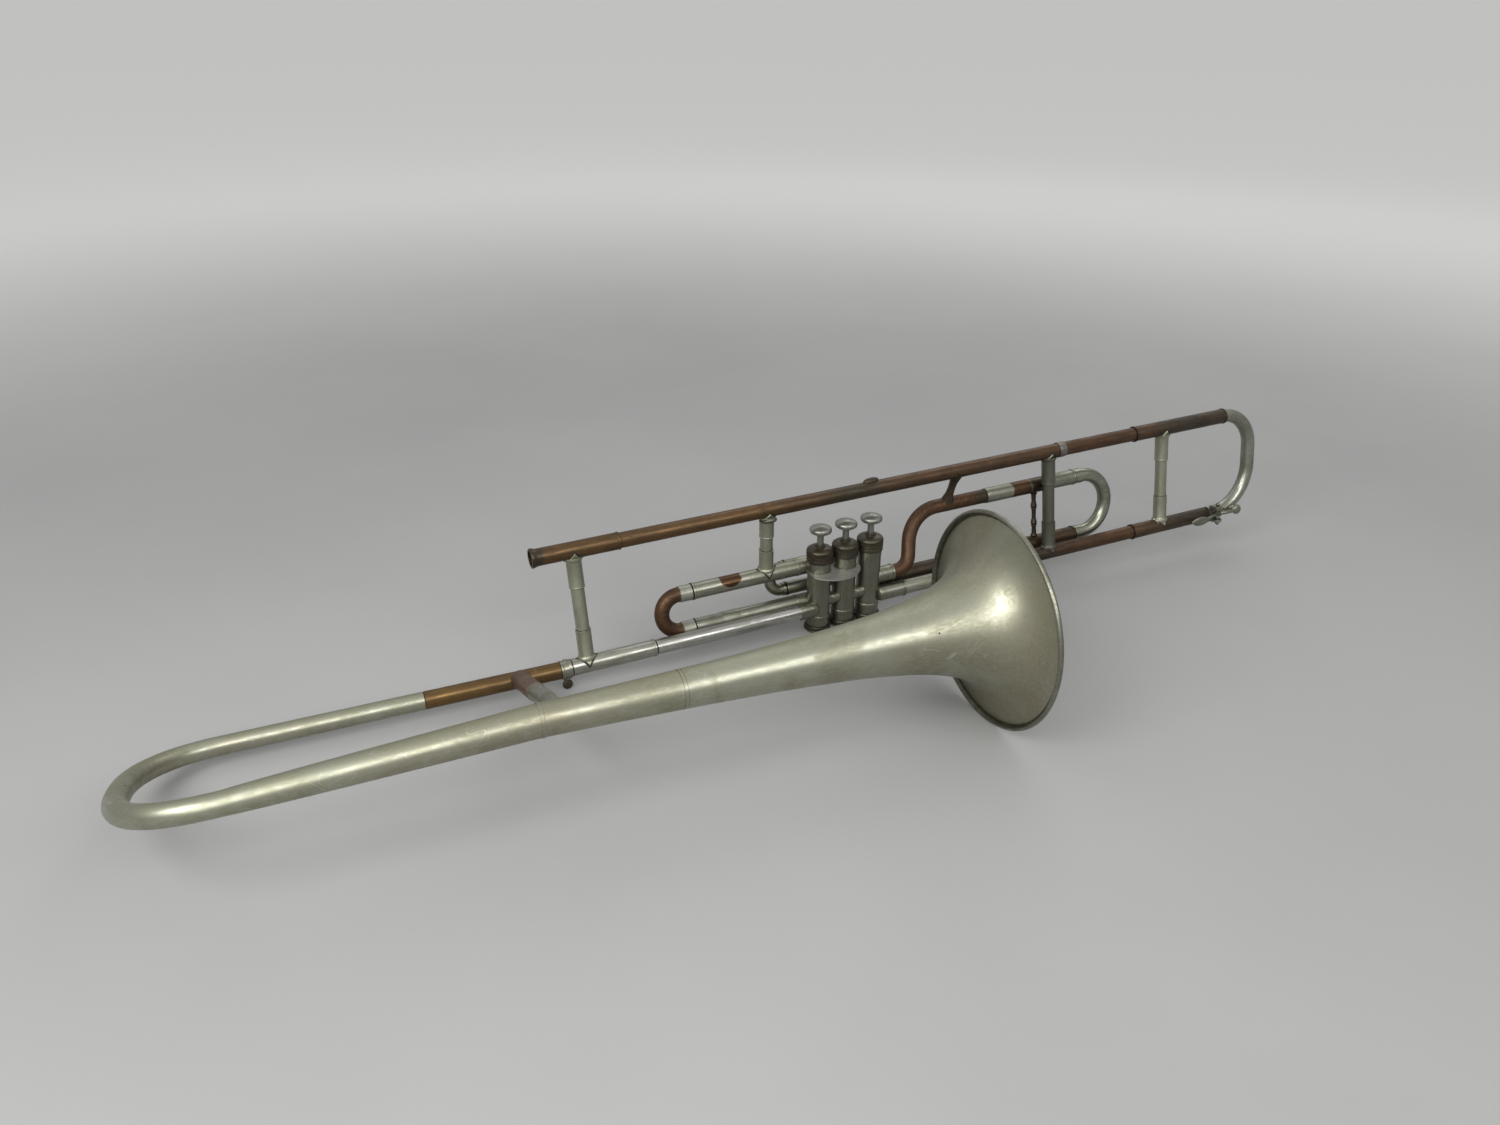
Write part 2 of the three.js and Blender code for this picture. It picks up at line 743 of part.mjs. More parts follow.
// One socket: foot is a point on the braced tube's axis, and head points along the stay
function socket(foot, head, bracedR, length) {
  const bed = bracedR + seam;
  const braceAlong = at(1, 0, 0);
  const end = foot.clone().addScaledVector(head, bed + length);
  const sleeve = rod(foot, end, socketR, tubeSides, braceAlong);
  const saddleTube = rod(
    foot.clone().addScaledVector(braceAlong, -saddleHalfLong),
    foot.clone().addScaledVector(braceAlong, saddleHalfLong),
    bed + saddleThick,
    tubeSides,
  );
  const diamond = rod(foot, end, 1, 4, braceAlong, [saddleHalfLong, bed + saddleRim]);
  return joined(sleeve, common(saddleTube, diamond));
}
const bed = (foot, bracedR) => rod(
  foot.clone().add(at(-overrun, 0, 0)),
  foot.clone().add(at(overrun, 0, 0)),
  bracedR + seam,
  tubeSides,
);
function stay(a, b, ra, rb, length) {
  const head = b.clone().sub(a).normalize();
  return laid(cut(
    joined(
      socket(a, head, ra, length),
      socket(b, head.clone().negate(), rb, length),
      rod(a, b, stayR, tubeSides, at(1, 0, 0)),
    ),
    bed(a, ra),
    bed(b, rb),
    rod(a, b, stayR - staySocketWall, tubeSides, at(1, 0, 0)),
  ));
}
const left = [at(leftStayAt, 0, slideSpan), at(leftStayAt, 0, 0)];
const second = [at(secondStayAt, 0, slideSpan), at(secondStayAt, firstBack, firstUpper)];
const middle = [at(middleStayAt, 0, slideSpan), at(middleStayAt, 0, 0)];
const front = [at(frontStayAt, 0, slideSpan), at(frontStayAt, 0, 0)];
piece('left_stay', stay(...left, sleeveR, sleeveR, socketLong), 'nickel');
piece('first_slide_stay', stay(...second, tubeR, sleeveR, shortSocketLong), 'nickel');
piece('middle_stay', stay(...middle, tubeR, tubeR, socketLong), 'nickel');
piece('front_stay', stay(...front, sleeveR, sleeveR, socketLong), 'nickel');

// A turned brace between the legs of the third slide, and a short strut up to the long tube
const balusterBack = 41.7;
const balusterAt = thirdRing - balusterBack;
const balusterDia = 5.0;
const balusterWaist = 3.8;
const balusterBead = 5.8;
const balusterFoot = 6.4;
const beadLong = 3.4;
const beadShares = [0.3, 0.7];
const lowSkin = thirdLower + sleeveR + seam;
const highSkin = thirdUpper - sleeveR - seam;
const beadAt = beadShares.map((share) => lowSkin + (highSkin - lowSkin) * share);
const balusterProfile = [
  [lowSkin, 0],
  [lowSkin, balusterFoot / 2],
  [lowSkin + beadLong / 2, balusterDia / 2],
  ...beadAt.flatMap((z) => [
    [z - beadLong, balusterWaist / 2],
    [z - beadLong / 2, balusterDia / 2],
    [z, balusterBead / 2],
    [z + beadLong / 2, balusterDia / 2],
    [z + beadLong, balusterWaist / 2],
  ]),
  [highSkin - beadLong / 2, balusterDia / 2],
  [highSkin, balusterFoot / 2],
  [highSkin, 0],
];
piece('baluster_brace', laid(turnedAlongZ(balusterProfile, 10).translate(balusterAt, thirdBack, 0)), 'brown');

const strutTopAt = 134.4;
const strutFootAt = 130.6;
const strutDia = 6.6;
const strutFlare = 9.4;
const strutFlareShares = [0, 0.3, 0.7, 1];
const strutTop = at(strutTopAt, 0, slideSpan);
const strutFoot = at(strutFootAt, thirdBack, thirdUpper);
const strutLine = strutFlareShares.map((share) => strutTop.clone().lerp(strutFoot, share));
piece('short_strut', laid(cut(
  pipe(strutLine, [strutFlare / 2, strutDia / 2, strutDia / 2, strutFlare / 2], 0, 12, at(1, 0, 0)),
  tubeShell(strutFootAt - overrun, strutTopAt + overrun, 0, slideSpan, tubeR + seam),
  pipe(sLine, tubeR + seam, 0),
)), 'brown');

// Water key on the front bow: a saddle with two ears, a pin, a lever with a spoon, and a pad
const keyBack = 44.2;
const keyAt = bowReach - keyBack;
const keySaddleLong = 11.0;
const keySaddleThick = 1.0;
const keyPinOut = 10.9;
const keyPinUp = 2.0;
const keyPinDia = 2.2;
const keyPinHole = 1.25;
const earHalf = 6.4;
const earThick = 1.8;
const earWide = 7.6;
const pinHalf = 9.0;
const pinBall = 3.6;
const barrelDia = 4.6;
const barrelHalf = 4.2;
const padCupDia = 9.4;
const padCupTall = 3.2;
const padThick = 1.8;
const armDia = 3.2;
const spoonReach = 22.0;
const spoonAt = keyAt - spoonReach;
const spoonOut = 14.2;
const spoonHalfLong = 11.0;
const spoonHalfWide = 5.4;
const spoonThick = 1.3;
const keyZ = at(0, 0, 1);
const saddleBand = cut(
  tubeShell(keyAt - keySaddleLong / 2, keyAt + keySaddleLong / 2, 0, 0, sleeveR + seam + keySaddleThick),
  tubeShell(keyAt - overrun, keyAt + overrun, 0, 0, sleeveR + seam),
  rod(at(keyAt - overrun, sleeveR / 2, 0), at(keyAt + overrun, sleeveR / 2, 0), overrun, 4, at(0, 1, 1))
    .translate(0, overrun * Math.SQRT1_2, 0),
);
const pinHole = () => rod(
  at(keyAt, -keyPinOut, -overrun),
  at(keyAt, -keyPinOut, overrun),
  keyPinDia / 2 + slideGap,
  12,
  at(1, 0, 0),
);
const ear = (up) => {
  const plate = rod(
    at(keyAt, -sleeveR, up - earThick / 2),
    at(keyAt, -sleeveR, up + earThick / 2),
    1,
    16,
    at(1, 0, 0),
    [earWide / 2, keyPinOut - sleeveR + earWide / 2],
  );
  return cut(
    plate,
    tubeShell(keyAt - overrun, keyAt + overrun, 0, 0, sleeveR + seam),
    pinHole(),
  );
};
const ears = [-earHalf, earHalf].map((half) => ear(keyPinUp + half));
piece('water_key_saddle', laid(joined(saddleBand, ...ears)), 'nickel');
const pinProfile = [
  ...arc(-pinHalf, 0, pinBall / 2, Math.PI, Math.PI / 4, 3),
  [-pinHalf + pinBall / 2, keyPinDia / 2],
  [pinHalf - pinBall / 2, keyPinDia / 2],
  ...arc(pinHalf, 0, pinBall / 2, 3 * Math.PI / 4, 0, 3),
];
piece('water_key_pin', laid(turnedAlongZ(pinProfile, 12).translate(keyAt, -keyPinOut, keyPinUp)), 'steel');
const cupFace = nippleFace + seam + padThick / 2;
const cupBack = cupFace + padCupTall;
const keyArm = pipe([
  at(keyAt, -keyPinOut, keyPinUp),
  at((keyAt + nippleAt) / 2, -cupBack + armDia / 4, (nippleUp + keyPinUp) / 2),
  at(nippleAt, -cupBack + armDia / 4, nippleUp),
], armDia / 2, 0, 8, keyZ);
const spoonArm = rod(
  at(keyAt, -keyPinOut, keyPinUp),
  at(spoonAt + spoonHalfLong / 2, -spoonOut, 0),
  armDia / 2,
  8,
  keyZ,
);
const spoon = new THREE.SphereGeometry(1, 16, 8)
  .scale(spoonHalfLong, spoonThick, spoonHalfWide)
  .translate(spoonAt, -spoonOut, 0);
const cup = rod(at(nippleAt, -cupFace, nippleUp), at(nippleAt, -cupBack, nippleUp), padCupDia / 2, 16, keyZ);
const cupHollow = rod(
  at(nippleAt, 0, nippleUp),
  at(nippleAt, -cupFace - padThick / 2 - seam, nippleUp),
  padCupDia / 2 - keySaddleThick + slideGap,
  16,
  keyZ,
);
const barrel = rod(
  at(keyAt, -keyPinOut, keyPinUp - barrelHalf),
  at(keyAt, -keyPinOut, keyPinUp + barrelHalf),
  barrelDia / 2,
  12,
  at(1, 0, 0),
);
piece('water_key_lever', laid(cut(
  joined(barrel, keyArm, spoonArm, spoon, cup),
  cupHollow,
  pinHole(),
)), 'nickel');
piece('water_key_pad', laid(rod(
  at(nippleAt, -nippleFace - seam, nippleUp),
  at(nippleAt, -cupFace - padThick / 2, nippleUp),
  padCupDia / 2 - keySaddleThick,
  16,
  keyZ,
)), 'cork');

// Joint with the bell section: a clamp collar with a boss, and a thumb screw whose knob is on the floor
const collarR = 7.3;
const bossDia = 6.4;
const bossDrop = 8.0;
const screwDia = 3.0;
const knobDia = 8.0;
const knobWaist = 4.4;
const screwAt = (collarStart + jointRing) / 2;
const collarTube = tubeShell(collarStart, jointRing, 0, 0, collarR);
const boss = rod(at(screwAt, 0, 0), at(screwAt, 0, -bossDrop), bossDia / 2, 12, at(1, 0, 0));
const nub = rod(at(screwAt, 0, 0), at(screwAt, 0, bossDrop), screwDia / 2, 8, at(1, 0, 0));
piece('bell_clamp_collar', laid(cut(
  joined(collarTube, boss, nub),
  tubeShell(collarStart - overrun, jointRing + overrun, 0, 0, sleeveBore),
  rod(at(screwAt, 0, 0), at(screwAt, 0, -overrun), screwDia / 2 + slideGap, 12, at(1, 0, 0)),
)), 'nickel');
const knobR = knobDia / 2;
const knobCentre = (knobR - onFloor(at(screwAt, 0, 0)).z) / (Math.cos(riseAngle) * Math.cos(leanAngle));
const screwProfile = [
  ...arc(knobCentre, 0, knobR, Math.PI, Math.PI / 4, 6),
  [knobCentre + knobR, knobWaist / 2],
  [-bossDrop - seam, knobWaist / 2],
  [-bossDrop - seam, screwDia / 2],
  [-tubeR - seam, screwDia / 2],
  [-tubeR - seam, 0],
];
piece('thumb_screw', laid(turnedAlongZ(screwProfile, 16).translate(screwAt, 0, 0)), 'brown');

// Bell section, in its own frame: origin at the joint, x back along the neck, the bell at -y
const neckDia = 13.4;
const neckLong = 101.5;
const tenonLong = 30.0;
const tenonR = tubeR - slideGap;
const droopAngle = THREE.MathUtils.degToRad(1.16);
const skewAngle = THREE.MathUtils.degToRad(0.24);
const bellOffset = 168.4;
const bowStart = 234.0;
const bowDepth = 61.0;
const bowSag = 1.0;
const bowSquareness = 2.5;
const tailEnd = 52.0;
const tailLift = 4.6;
const neckR = neckDia / 2;
const bowTubeR = 7.4;
const sheet = 0.6;
const tailSpread = 0.7;
const rimR = 79.9;
const flareLong = 330.0;
const flareThroat = 12.07;
const flarePower = 0.597;
const beadR = 2.1;
const bellBowSides = 16;
const bellBowSteps = 6;
const tailSteps = 3;
const flareSteps = 11;

const flareEnd = at(flareLong - tailEnd, -bellOffset, 0);
const flareStart = at(-tailEnd, -bellOffset, tailLift);
const flareAlong = flareEnd.clone().sub(flareStart).normalize();
const tailR = rimR * (1 + flareLong / flareThroat) ** -flarePower;

// The bell section turns about its neck until the lowest point of the rim is on the floor
function bellRest(swing) {
  return slideRest.clone()
    .multiply(new THREE.Matrix4().makeTranslation(collarStart, 0, 0))
    .multiply(new THREE.Matrix4().makeRotationY(droopAngle))
    .multiply(new THREE.Matrix4().makeRotationZ(-skewAngle))
    .multiply(new THREE.Matrix4().makeRotationX(-swing));
}
function rimHeight(swing) {
  const matrix = bellRest(swing);
  const centre = flareEnd.clone().applyMatrix4(matrix);
  const along = flareAlong.clone().transformDirection(matrix);
  return centre.z - rimR * Math.sqrt(1 - along.z ** 2);
}
let lowSwing = 0;
let highSwing = Math.PI / 4;
for (let i = 0; i < 40; i += 1) {
  const middle = (lowSwing + highSwing) / 2;
  if (rimHeight(middle) < 0) lowSwing = middle;
  else highSwing = middle;
}
const bellMatrix = bellRest(highSwing);
const hung = (geometry) => geometry.applyMatrix4(bellMatrix);

piece('neck_tenon', laid(straight(collarStart, collarStart + tenonLong, 0, 0, tenonR)), 'nickel');
piece('neck_tube', hung(pipe([at(-seam, 0, 0), at(-neckLong, 0, 0)], neckR, sheet)), 'copper');

const bellBowR = bellOffset / 2;
const bellBowLine = [at(-neckLong - seam, 0, 0), at(-bowStart, 0, 0)];
const bellBowRadii = [neckR, neckR];
for (let k = 1; k <= 2 * bellBowSteps; k += 1) {
  const turn = Math.PI * k / (2 * bellBowSteps);
  const squared = (share) => Math.sign(share) * Math.abs(share) ** (2 / bowSquareness);
  const over = squared(Math.sin(turn));
  const down = squared(Math.cos(turn));
  bellBowLine.push(at(-bowStart - bowDepth * over, -bellBowR * (1 - down), -bowSag * Math.sin(turn) ** 2));
  bellBowRadii.push(neckR + (bowTubeR - neckR) * Math.min(1, k / bellBowSteps));
}
for (let k = 1; k <= tailSteps; k += 1) {
  const share = k / tailSteps;
  bellBowLine.push(at(-bowStart + (bowStart - tailEnd - 2 * seam) * share, -bellOffset, tailLift * share));
  bellBowRadii.push(bowTubeR + (tailR - bowTubeR) * share ** tailSpread);
}
piece('bell_bow', hung(pipe(bellBowLine, bellBowRadii, sheet, bellBowSides, at(0, 0, 1))), 'nickel');

// The flare widens as a power of the distance from its mouth, and its rim is rolled into a bead
const flareOuter = [];
const flareInner = [];
for (let k = 0; k <= flareSteps; k += 1) {
  const share = (k / flareSteps) ** 2;
  const gap = flareThroat * ((1 + flareLong / flareThroat) ** (1 - k / flareSteps) - 1);
  const r = rimR * (1 + gap / flareThroat) ** -flarePower;
  if (r < rimR - 2 * beadR) {
    flareOuter.push([flareLong - gap, r]);
    flareInner.push([flareLong - gap, r - sheet]);
  }
}
const flareProfile = [
  ...flareOuter,
  ...arc(flareLong - beadR, rimR - beadR, beadR, Math.PI, -Math.PI / 2, 4),
  ...flareInner.reverse(),
  flareOuter[0],
];
const flareTurn = new THREE.Matrix4().makeRotationFromQuaternion(
  new THREE.Quaternion().setFromUnitVectors(at(1, 0, 0), flareAlong));
const flare = turnedAlongX(flareProfile, bellSides)
  .applyMatrix4(flareTurn)
  .translate(flareStart.x, flareStart.y, flareStart.z);
piece('bell_flare', hung(flare), 'nickel');

// Stay between the neck and the bell
const bellStayTopAt = 31.0;
const bellStayFootAt = 36.0;
const bellStayDia = 13.8;
const bellStaySplitShare = 0.4;
const bellStayR = bellStayDia / 2;
const bellStayTop = at(-bellStayTopAt, 0, 0);
const bellStayFoot = at(-bellStayFootAt, -bellOffset, tailLift);
const bellStayShares = [0, bellStaySplitShare, bellStaySplitShare + seam / bellOffset, 1];
const bellStayLine = bellStayShares.map((share) => bellStayTop.clone().lerp(bellStayFoot, share));
const bellStayRadii = [bellStayR, bellStayR, bellStayR - tubeWall, bellStayR - tubeWall];
const neckCutter = rod(
  at(-overrun - bellStayTopAt, 0, 0),
  at(overrun - bellStayTopAt, 0, 0),
  neckR + seam,
  tubeSides,
);
const flareCutter = turnedAlongX([
  [0, 0],
  [0, tailR + seam],
  [flareLong / 4, rimR * (1 + (3 * flareLong / 4) / flareThroat) ** -flarePower + seam],
  [flareLong / 4, 0],
], bellSides).applyMatrix4(flareTurn).translate(flareStart.x, flareStart.y, flareStart.z);
piece('bell_stay', hung(cut(
  pipe(bellStayLine, bellStayRadii, tubeWall, tubeSides, at(1, 0, 0)),
  neckCutter,
  flareCutter,
)), 'nickel');

// Centred over its footprint
const box = new THREE.Box3().setFromObject(trombone);
trombone.position.set(-(box.min.x + box.max.x) / 2, -(box.min.y + box.max.y) / 2, -box.min.z);

export default trombone;
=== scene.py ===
import math

import bmesh
import bpy
import numpy as np
from mathutils import Matrix, Vector


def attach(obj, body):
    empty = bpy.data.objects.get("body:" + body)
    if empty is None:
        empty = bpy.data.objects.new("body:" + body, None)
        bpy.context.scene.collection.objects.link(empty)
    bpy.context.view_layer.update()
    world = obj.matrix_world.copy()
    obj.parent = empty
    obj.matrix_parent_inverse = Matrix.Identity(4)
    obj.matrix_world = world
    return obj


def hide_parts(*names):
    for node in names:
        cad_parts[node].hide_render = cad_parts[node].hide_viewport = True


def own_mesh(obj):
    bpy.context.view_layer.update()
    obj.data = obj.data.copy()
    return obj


# A valve trombone that lies on its side. Lengths are metres. The slide frame is the one that the
# tubes are laid out in: x along the tubes, y to the back, z from the lower tube to the upper one.

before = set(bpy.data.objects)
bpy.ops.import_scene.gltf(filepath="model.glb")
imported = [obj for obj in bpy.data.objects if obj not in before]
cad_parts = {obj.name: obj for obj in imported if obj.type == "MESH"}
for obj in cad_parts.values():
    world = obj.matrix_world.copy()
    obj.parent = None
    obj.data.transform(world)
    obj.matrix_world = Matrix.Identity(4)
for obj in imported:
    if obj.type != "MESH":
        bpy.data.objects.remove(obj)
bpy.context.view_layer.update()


# Valve casings
# Three drawn nickel-silver tubes, upright in a row, with a band under each cap. The slides' stubs
# and the two short crossing tubes are soldered to them. All are worn to a dull greenish grey.

rest_pitch, rest_roll = math.radians(1.76), math.radians(8.76)
slide_rest = (Matrix.Translation((0.032722641, 0.101944224, 0.0229))
    @ Matrix.Rotation(-rest_pitch, 4, "Y") @ Matrix.Rotation(-rest_roll, 4, "X"))


def node(tree, kind, inputs=(), **settings):
    """One shader node. An input is a value or another node's socket."""
    made = tree.nodes.new("ShaderNode" + kind)
    for name, value in settings.items():
        setattr(made, name, value)
    for key, value in dict(inputs).items():
        if isinstance(value, bpy.types.NodeSocket):
            tree.links.new(value, made.inputs[key])
        else:
            made.inputs[key].default_value = value
    return made


def calc(tree, operation, *values, clamp=False):
    """A sum, a product or the like of numbers and sockets."""
    return node(tree, "Math", enumerate(values), operation=operation, use_clamp=clamp).outputs[0]


def ramp(tree, value, low, high, out_low=0.0, out_high=1.0):
    limits = {0: value, 1: low, 2: high, 3: out_low, 4: out_high}
    return node(tree, "MapRange", limits, interpolation_type="SMOOTHSTEP").outputs[0]


def mixed(tree, mask, a, b):
    def tone(c):
        return c if isinstance(c, bpy.types.NodeSocket) else (*c, 1.0)

    return node(tree, "Mix", {0: mask, 6: tone(a), 7: tone(b)}, data_type="RGBA").outputs[2]


def noise(tree, place, scale, detail=3.0, rough=0.5, twist=0.0):
    sizes = {"Vector": place, "Scale": scale, "Detail": detail, "Roughness": rough, "Distortion": twist}
    return node(tree, "TexNoise", sizes).outputs[0]


def group(name, inputs, outputs):
    tree = bpy.data.node_groups.new(name, "ShaderNodeTree")
    for side, sockets in (("INPUT", inputs), ("OUTPUT", outputs)):
        for label, kind in sockets.items():
            tree.interface.new_socket(label, in_out=side, socket_type="NodeSocket" + kind)
    return tree, tree.nodes.new("NodeGroupInput").outputs, tree.nodes.new("NodeGroupOutput").inputs


def use(tree, made, **values):
    return node(tree, "Group", values, node_tree=made).outputs


# Age: marks, drawn out along the way that the metal was drawn or wiped
marks_of = ("Cloud", "Patina", "Mottle", "Wiping", "Pits", "Scratches", "Relief")
age, came, goes = group("age", {"Place": "Vector", "Way": "Vector"}, dict.fromkeys(marks_of, "Float"))
place = came["Place"]
long_way = node(age, "VectorMath", {0: place, 1: came["Way"]}, operation="MULTIPLY").outputs[0]
cloud = ramp(age, noise(age, place, 9.0, 3.0, 0.55, 0.5), 0.42, 0.62)
patina = ramp(age, noise(age, place, 26.0, 4.0, 0.6, 0.6), 0.40, 0.64)
mottle = ramp(age, noise(age, place, 190.0, 5.0, 0.65), 0.36, 0.68)
wiping = ramp(age, noise(age, long_way, 520.0, 4.0, 0.6), 0.42, 0.64)
cells = node(age, "TexVoronoi", {"Vector": place, "Scale": 170.0, "Randomness": 1.0})
pit_size = ramp(age, noise(age, place, 60.0, 2.0), 0.52, 0.74, 0.0, 0.16)
pits = ramp(age, calc(age, "SUBTRACT", pit_size, cells.outputs["Distance"]), 0.0, 0.05)
lines = None
for turn, scale in (((0.9, 0.3, 0.4), 60.0), ((2.3, 1.1, 0.2), 85.0), ((0.2, 2.0, 1.4), 48.0)):
    turned_place = node(age, "VectorRotate", {"Vector": place, "Rotation": turn},
        rotation_type="EULER_XYZ").outputs[0]
    drawn_out = node(age, "VectorMath", {0: turned_place, 1: (0.16, 1.0, 1.0)},
        operation="MULTIPLY").outputs[0]
    wave = noise(age, drawn_out, scale, 1.0, 0.4, 0.3)
    line = ramp(age, calc(age, "ABSOLUTE", calc(age, "SUBTRACT", wave, 0.5)), 0.0035, 0.0, 0.0, 1.0)
    kept = ramp(age, noise(age, place, scale * 0.9, 1.0), 0.54, 0.66)
    line = calc(age, "MULTIPLY", line, kept)
    lines = line if lines is None else calc(age, "MAXIMUM", lines, line)
relief = calc(age, "MULTIPLY", noise(age, place, 45.0, 2.0), 0.6)
relief = calc(age, "MULTIPLY_ADD", noise(age, long_way, 300.0, 3.0), 0.10, relief)
relief = calc(age, "MULTIPLY_ADD", pits, -0.12, relief)
relief = calc(age, "MULTIPLY_ADD", lines, -0.05, relief)
for label, value in zip(marks_of, (cloud, patina, mottle, wiping, pits, lines, relief)):
    age.links.new(value, goes[label])

# Stretch: a length of tube between two places on the slide, with a ragged edge. It ends at the
# height Low, where it has one, and Sag rounds that lower edge off.
stretch_of, came, goes = group("stretch_of_tube",
    dict.fromkeys(("Start", "End", "Soft", "Ragged", "Low", "Sag"), "Float"), {"Mask": "Float"})
here = node(stretch_of, "TexCoord").outputs["Object"]


def reading(axis):
    """How far along one axis of the slide a point lies."""
    way = slide_rest.to_3x3() @ Vector(axis)
    found = node(stretch_of, "VectorMath", {0: here, 1: way}, operation="DOT_PRODUCT").outputs["Value"]
    return calc(stretch_of, "SUBTRACT", found, slide_rest.translation.dot(way))


station, height = reading((1, 0, 0)), reading((0, 0, 1))
middle = calc(stretch_of, "MULTIPLY", calc(stretch_of, "ADD", came["Start"], came["End"]), 0.5)
half = calc(stretch_of, "SUBTRACT", came["End"], middle)
off_middle = calc(stretch_of, "DIVIDE", calc(stretch_of, "SUBTRACT", station, middle), half)
bound = calc(stretch_of, "MULTIPLY_ADD", calc(stretch_of, "MULTIPLY", off_middle, off_middle),
    came["Sag"], came["Low"])
over = ramp(stretch_of, calc(stretch_of, "SUBTRACT", height, bound), -0.0003, 0.0003)
rough_edge = calc(stretch_of, "SUBTRACT", noise(stretch_of, here, 130.0, 4.0, 0.6, 0.4), 0.5)
station = calc(stretch_of, "MULTIPLY_ADD", rough_edge, came["Ragged"], station)
past_start, past_end = (ramp(stretch_of, station,
    *(calc(stretch_of, way, came[end], came["Soft"]) for way in ("SUBTRACT", "ADD")))
    for end in ("Start", "End"))
between = calc(stretch_of, "SUBTRACT", past_start, past_end, clamp=True)
stretch_of.links.new(calc(stretch_of, "MULTIPLY", between, over), goes["Mask"])


def blank(name):
    """A new material with its tree, its shader and the place on the object."""
    material = bpy.data.materials.new(name)
    material.use_nodes = True
    tree = material.node_tree
    return material, tree, tree.nodes["Principled BSDF"], node(tree, "TexCoord").outputs["Object"]


def coat_of(tree, marks, tones, wipe, blotch):
    """The colour of one metal with its marks on it."""
    clean, stained, worn, pit, haze = tones
    colour = mixed(tree, marks["Patina"], clean, stained)
    colour = mixed(tree, calc(tree, "MULTIPLY", marks["Cloud"], 0.6), colour, haze)
    colour = mixed(tree, calc(tree, "MULTIPLY", marks["Wiping"], wipe), colour, worn)
    colour = mixed(tree, calc(tree, "MULTIPLY", marks["Mottle"], blotch), colour, stained)
    colour = mixed(tree, calc(tree, "MULTIPLY", marks["Scratches"], 0.55), colour, worn)
    return mixed(tree, marks["Pits"], colour, pit)


def metal(name, tones, rough=0.36, metallic=0.95, relief=0.12, patches=(), way=(0.12, 1, 1), wipe=0.22,
        blotch=0.22):
    """A worn metal. A patch is (tones, start, end, soft, ragged) on the slide, and (low, sag) if it hangs."""
    material, tree, shader, here = blank(name)
    marks = use(tree, age, Place=here, Way=way)
    colour = coat_of(tree, marks, tones, wipe, blotch)
    for patch, start, end, soft, ragged, *hang in patches:
        low, sag = hang or (-1.0, 0.0)
        mask = use(tree, stretch_of, Start=start, End=end, Soft=soft, Ragged=ragged, Low=low,
            Sag=sag)["Mask"]
        colour = mixed(tree, mask, colour, coat_of(tree, marks, patch, wipe, blotch))
    tree.links.new(colour, shader.inputs["Base Color"])
    gloss = calc(tree, "MULTIPLY_ADD", marks["Patina"], 0.10, rough)
    gloss = calc(tree, "MULTIPLY_ADD", marks["Wiping"], -0.07, gloss)
    gloss = calc(tree, "MULTIPLY_ADD", marks["Pits"], 0.25, gloss, clamp=True)
    tree.links.new(gloss, shader.inputs["Roughness"])
    shader.inputs["Metallic"].default_value = metallic
    bump = node(tree, "Bump", {"Height": marks["Relief"], "Strength": relief, "Distance": 0.002})
    tree.links.new(bump.outputs[0], shader.inputs["Normal"])
    return material


upright, round_z = (1, 1, 0.12), (0.25, 0.25, 1)

# Colours of a metal: clean, stained, worn bright, pit, and the haze in wide soft patches
upright_tones = ((0.250, 0.255, 0.205), (0.160, 0.163, 0.124), (0.42, 0.42, 0.37), (0.04, 0.034, 0.024),
    (0.182, 0.176, 0.130))
upright_nickel = metal("worn_nickel_upright", upright_tones, 0.34, way=upright, wipe=0.12)
casing_pitch, casing_back, casing_step = 0.0232, 0.007, 0.001
casing_radius, casing_bore = 0.00975, 0.009
casing_foot, casing_top = 0.0024, 0.0698
sleeve_bore, sleeve_radius = 0.00615, 0.0066
seam = 0.0003


def to_casing(k):
    foot = slide_rest @ Vector((k * casing_pitch, casing_back, 0))
    return Matrix.Translation((foot.x, foot.y, k * casing_step))


def eased(profile, ease, steps=3):
    """The corners of an outline of (along, radius) pairs, softened as a file would leave them."""
    kept = [profile[0]]
    for a, b, c in zip(profile, profile[1:], profile[2:]):
        a, b, c = Vector(a), Vector(b), Vector(c)
        back, on = a - b, c - b
        if back.length < 1e-9 or on.length < 1e-9 or back.angle(on) > math.radians(160):
            kept.append(tuple(b))
            continue
        reach = min(ease, 0.4 * back.length, 0.4 * on.length)
        p, q = b + back.normalized() * reach, b + on.normalized() * reach
        for i in range(steps + 1):
            t = i / steps
            kept.append(tuple((1 - t) ** 2 * p + 2 * t * (1 - t) * b + t * t * q))
    kept.append(profile[-1])
    return kept


def turned(profile, sides, ease, knurl=None):
    """A turned shape about z from (along, radius) pairs. A knurl is (from, to, how deep)."""
    ring = eased(profile, ease) if ease else list(profile)
    closed = Vector(ring[0]).to_tuple(7) == Vector(ring[-1]).to_tuple(7)
    if closed:
        ring = ring[:-1]
    points, ids, faces = [], [], []
    for along, radius in ring:
        if radius < 1e-7:
            ids.append([len(points)] * sides)
            points.append((0, 0, along))
            continue
        ids.append(list(range(len(points), len(points) + sides)))
        for i in range(sides):
            turn = 2 * math.pi * i / sides
            groove = knurl and knurl[0] <= along <= knurl[1] and i // 2 % 2
            r = radius - knurl[2] if groove else radius
            points.append((r * math.cos(turn), r * math.sin(turn), along))
    pairs = list(zip(ids, ids[1:])) + ([(ids[-1], ids[0])] if closed else [])
    for low, high in pairs:
        for i in range(sides):
            j = (i + 1) % sides
            face = list(dict.fromkeys((low[i], low[j], high[j], high[i])))
            if len(face) > 2:
                faces.append(face)
    return points, faces


